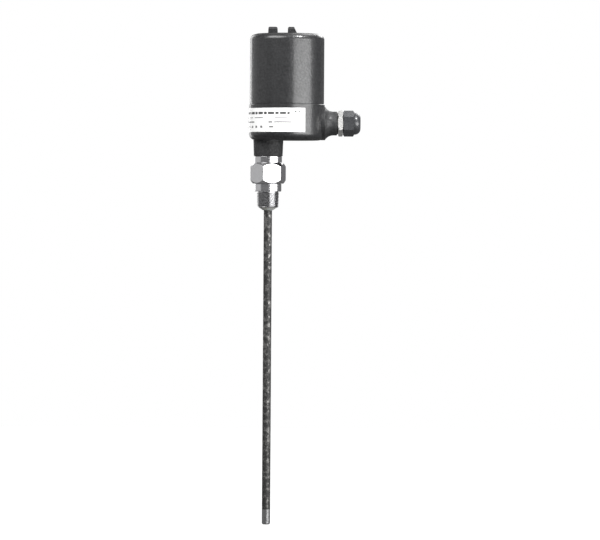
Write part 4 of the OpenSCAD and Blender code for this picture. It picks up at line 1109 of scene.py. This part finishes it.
POWER_TRACKS = [
    [(-14.6, -22), (-18, -20.6), (-20, -18), (-24, -11)], [(6.6, -22), (9, -21.2), (10, -20)],
    [(-20, 12), (-18, 13.6), (-14, 14.6)], [(-6, 11.4), (-2, 13.2), (4, 15.4)],
    [(2.6, -8), (5.4, -6), (7.6, -6)], [(2.4, 4), (4.6, 4.6)], [(-28, 2), (-28, 9), (-24, 15.4)],
    [(9, 14.4), (10.4, 14.6), (11.5, 14.7)], [(14.3, 14.7), (15.8, 13.4), (17, 13.7), (19.8, 10.4)],
    [(11.5, 23.4), (8, 27.2), (0, 28.6), (-9, 21)], [(24, -12), (26, -8.6), (24.4, -3), (24, 2)],
]


def add_track(bm, points, top):
    """A flat strip along a path, with a round end at every bend."""
    for (x0, y0), (x1, y1) in zip(points, points[1:]):
        place = on_board((x0, y0), top) @ Matrix.Rotation(math.atan2(y1 - y0, x1 - x0), 4, "Z")
        length = math.hypot(x1 - x0, y1 - y0)
        add_block(bm, (0, -TRACK_W / 2, -SUNK), (length, TRACK_W / 2, TRACK_H), place)
    for spot in points:
        add_rod(bm, TRACK_W / 2, -SUNK, TRACK_H, on_board(spot, top), 10)


mirrored = [[(x, side * y) for x, y in points] for points in PAIRED_TRACKS for side in (1, -1)]
ROUTES = [(points, BOARD2_TOP) for points in SIGNAL_TRACKS + mirrored]
ROUTES += [(points, BOARD1_TOP) for points in POWER_TRACKS]
tracks = bmesh.new()
for points, top in ROUTES:
    add_track(tracks, points, top)
make_piece(tracks, "board_tracks", "track_green", "base")

# %% [markdown]
# Molten solder climbs a wire and freezes as a small cone, hollow in its flank. One half section spun round
# each wire draws it. On top a cone ends every track. Under the boards a larger one holds each pin of each
# part, and they show when the cover is off and one looks in from the side.
# %% Solder
BLOCK_PINS_X, BLOCK_PITCH, WAYS = 16, 5.08, 6
PAD_OUTLINE = [(0.85, 0), (0.85, 0.06), (0.42, 0.2), (0.3, 0.55), (0, 0.6)]
JOINT_OUTLINE = [(1.0, 0), (0.95, -0.1), (0.45, -0.5), (0.3, -1.3), (0, -1.35)]

block_ways = [(way - (WAYS - 1) / 2) * BLOCK_PITCH for way in range(WAYS)]
signal_pins = [(BLOCK_PINS_X, y) for y in block_ways]
signal_pins += around([SWITCH_SPOT], [(0, -4), (0, -1.4), (0, 1.4), (0, 4)])
signal_pins += around(TRIMMER_SPOTS, [(dx, dy) for dx in (-2.5, 2.5) for dy in (-2.5, 2.5)])
signal_pins += around(CHIP_SPOTS, [(dx, row * LEG_PITCH) for dx in (-3.8, 3.8) for row in LEG_ROWS])
for _, spot, turn in AXIAL_PARTS[BOARD2_TOP]:
    reach = (WIRE_SPAN * math.cos(math.radians(turn)), WIRE_SPAN * math.sin(math.radians(turn)))
    signal_pins += around([spot], [(side * reach[0], side * reach[1]) for side in (-1, 1)])

power_pins = around([CORE_SPOT], [(dx, dy) for dx in (-7, -2.3, 2.3, 7) for dy in (-8, 8)])
power_pins += around([RELAY_SPOT], [(-5.5, -7), (5.5, -7), (-5.5, 7), (5.5, 7), (0, 7)])
power_pins += around(CAN_SPOTS, [(-2.5, 0), (2.5, 0)])
power_pins += around([FUSE_SPOT], [(-7.5, 0), (7.5, 0)])

solder = bmesh.new()
for points, top in ROUTES:
    for spot in (points[0], points[-1]):
        add_turned(solder, PAD_OUTLINE, on_board(spot, top), 12)
for pins, low in ((signal_pins, BOARD2_LOW), (power_pins, BOARD1_LOW)):
    for spot in pins:
        add_turned(solder, JOINT_OUTLINE, on_board(spot, low), 14)
make_piece(solder, "board_solder", "solder", "base")

# %% [markdown]
# White print on a board tells the fitter where each part sits. A thin rectangle goes round each large part,
# and one to six strokes number the ways of the terminal block. Strokes are used because they need no
# lettering.
# %% Print on the boards
INK_H, INK_SUNK, LINE_W = 0.02, 0.01, 0.18
STROKE_X, STROKE_STEP, STROKE_W, STROKE_LEN = 24.3, 0.62, 0.26, 1.0
FRAMES = [
    (TRIMMER_SPOTS, (11, 11), BOARD2_TOP), ([SWITCH_SPOT], (7.4, 13.4), BOARD2_TOP),
    (CHIP_SPOTS[:1], (9.6, 11), BOARD2_TOP), (CHIP_SPOTS[1:], (9.6, 10.4), BOARD2_TOP),
    ([RELAY_SPOT], (16.4, 20.4), BOARD1_TOP), ([CORE_SPOT], (29.6, 21.6), BOARD1_TOP),
    ([FUSE_SPOT], (22, 8), BOARD1_TOP),
]


def add_ink(bm, middle, width, length, top):
    """A flat patch of print."""
    low, high = (-width / 2, -length / 2, -INK_SUNK), (width / 2, length / 2, INK_H)
    add_block(bm, low, high, on_board(middle, top))


board_print = bmesh.new()
for spots, (width, length), top in FRAMES:
    for middle in around(spots, [(0, length / 2), (0, -length / 2)]):
        add_ink(board_print, middle, width, LINE_W, top)
    for middle in around(spots, [(width / 2, 0), (-width / 2, 0)]):
        add_ink(board_print, middle, LINE_W, length, top)
for way, y in enumerate(block_ways):
    for stroke in range(way + 1):
        x = STROKE_X + STROKE_STEP * stroke + STROKE_W / 2
        add_ink(board_print, (x, y), STROKE_W, STROKE_LEN, BOARD2_TOP)
make_piece(board_print, "board_print", "print_pale", "base")

# %% [markdown]
# Each capacitor shows a bright aluminium end with a scored cross, which lets it vent, and a pale stripe on
# its sleeve. The disc is turned, and two thin dark bars on it are the score. The stripe is a bent bar, as on
# the plate.
# %% Capacitor ends and stripes
CAN_R, CAN_TOP = 5.0, span("capacitors", "Z")[1]
END_OUTLINE = [(0, 0.03), (3.7, 0.03), (3.9, -0.02)]
SCORE_LEN, SCORE_W, SCORE_H = 5.2, 0.24, 0.05
STRIPE_START, STRIPE_END, STRIPE_FOOT, STRIPE_HEAD, STRIPE_PROUD = -150, -118, 3.6, 1.2, 0.02

can_ends = bmesh.new()
can_scores = bmesh.new()
can_stripes = bmesh.new()
for spot in CAN_SPOTS:
    place = on_board(spot, CAN_TOP)
    add_turned(can_ends, END_OUTLINE, place, 48)
    for turn in (45, -45):
        bar = place @ Matrix.Rotation(math.radians(turn), 4, "Z")
        add_block(can_scores, (-SCORE_LEN / 2, -SCORE_W / 2, 0), (SCORE_LEN / 2, SCORE_W / 2, SCORE_H), bar)
    add_bent_bar(can_stripes, STRIPE_START, STRIPE_END, BOARD1_TOP + STRIPE_FOOT, CAN_TOP - STRIPE_HEAD,
                 CAN_R + STRIPE_PROUD, on_board(spot, 0))
make_piece(can_ends, "can_ends", "can_top", "base")
make_piece(can_scores, "can_scores", "print_dark", "base")
make_piece(can_stripes, "can_stripes", "print_pale", "base")

# %% [markdown]
# A catalogue photograph has no background, so the camera sees plain white behind the switch. The metal must
# not see it: a white room would wash out its dark stripes. The world therefore answers camera rays with white
# and all other rays with a dim grey.
# %% World
ROOM_GREY = (0.20, 0.20, 0.205, 1.0)
WHITE = (1.0, 1.0, 1.0, 1.0)


def blend(tree, share, first, second):
    """The first shader where the share is 0, and the second where it is 1."""
    return add_node(tree, "ShaderNodeMixShader", {0: share, 1: first, 2: second}).outputs[0]


def backdrop_world():
    """White where the camera sees it, and a dim grey room for everything that reflects it."""
    world = bpy.data.worlds.new("studio")
    bpy.context.scene.world = world
    world.use_nodes = True
    tree = world.node_tree
    tree.nodes.clear()
    room = add_node(tree, "ShaderNodeBackground", {"Color": ROOM_GREY}).outputs[0]
    paper = add_node(tree, "ShaderNodeBackground", {"Color": WHITE}).outputs[0]
    seen = add_node(tree, "ShaderNodeLightPath").outputs["Is Camera Ray"]
    add_node(tree, "ShaderNodeOutputWorld", {"Surface": blend(tree, seen, room, paper)})


backdrop_world()
print("room grey", ROOM_GREY[:3])

# %% [markdown]
# The floor is a sheet of pale paper just under the tip of the rod. Like the world, it shows white to the
# camera and a darker grey to the metal, or the lower faces would be too light. A faint shadow stays on it,
# and from below one looks through it.
# %% Floor
FLOOR_Z = cad_box[0].z - 0.001
FLOOR_HALF = 1.6
FLOOR_GREY, FLOOR_GLOW = 0.09, 0.94


def floor_paper():
    """Grey paper that glows white for the camera only, and that is clear from below."""
    material = bpy.data.materials.new("floor_paper")
    material.use_nodes = True
    tree = material.node_tree
    shader = tree.nodes["Principled BSDF"]
    shader.inputs["Base Color"].default_value = (FLOOR_GREY, FLOOR_GREY, FLOOR_GREY, 1.0)
    shader.inputs["Roughness"].default_value = 0.9
    paper = shader.outputs[0]
    glow = add_node(tree, "ShaderNodeEmission", {"Color": WHITE, "Strength": FLOOR_GLOW}).outputs[0]
    pale = add_node(tree, "ShaderNodeAddShader", {0: glow, 1: paper}).outputs[0]
    seen = add_node(tree, "ShaderNodeLightPath").outputs["Is Camera Ray"]
    under = add_node(tree, "ShaderNodeNewGeometry").outputs["Backfacing"]
    clear = add_node(tree, "ShaderNodeBsdfTransparent").outputs[0]
    surface = blend(tree, under, blend(tree, seen, paper, pale), clear)
    link(tree, tree.nodes["Material Output"], Surface=surface)
    return material


def pale_floor():
    """A pale sheet under the rod's tip, with a faint shadow."""
    bm = bmesh.new()
    bmesh.ops.create_grid(bm, x_segments=1, y_segments=1, size=FLOOR_HALF)
    bmesh.ops.translate(bm, verts=bm.verts, vec=(0, 0, FLOOR_Z))
    mesh = bpy.data.meshes.new("floor")
    bm.to_mesh(mesh)
    bm.free()
    mesh.materials.append(floor_paper())
    floor = add_object("floor", mesh)


pale_floor()
print("floor at", round(FLOOR_Z / MM, 1), "mm")

# %% [markdown]
# The lamps are large and few, since every one shows as a stripe in the fitting. A surface that looks 25
# degrees to the right mirrors a lamp at 50 degrees, so each lamp's angle is twice that of the stripe that it
# has to draw. The key lamp draws the light band down the cover, and a small bright one makes the spot on its
# shoulder. The ones behind keep the back from going black. Each row has azimuth and elevation in degrees,
# distance, width and height in metres, and a radiance. With a radiance, and not a power, a lamp that is made
# larger draws a wider stripe, and not a paler one.
# %% Lamps
LAMP_AIM = Vector((0.02, 0, -0.02))
LAMPS = {
    "key": (50, 1, 1.5, 1.7, 0.72, 6.9),
    "spark": (47, 50, 1.6, 0.28, 0.2, 150.0),
    "fill": (-40, 42, 1.6, 1.25, 0.95, 7.6),
    "overhead": (58, 68, 1.6, 0.5, 0.4, 5.0),
    "side": (-100, 2, 1.7, 2.4, 1.5, 0.41),
    "back right": (158, 27, 1.8, 1.0, 0.4, 5.0),
    "back left": (-152, 8, 1.8, 0.5, 1.5, 3.0),
    "back top": (146, 56, 1.8, 0.9, 0.5, 3.2),
}


def softbox(name, azimuth, elevation, distance, width, height, radiance):
    """A rectangular lamp. Azimuth is in degrees to the right of the camera, and it faces the switch."""
    turn, rise = math.radians(azimuth), math.radians(elevation)
    away = Vector((math.sin(turn) * math.cos(rise), -math.cos(turn) * math.cos(rise), math.sin(rise)))
    lamp = bpy.data.lights.new(name, "AREA")
    lamp.shape = "RECTANGLE"
    lamp.size = width
    lamp.size_y = height
    lamp.energy = radiance * math.pi * width * height
    box = add_object(name, lamp)
    box.location = LAMP_AIM + away * distance
    box.rotation_euler = away.to_track_quat("Z", "Y").to_euler()


for name, values in LAMPS.items():
    softbox(name, *values)
print("lamps:", len(LAMPS))
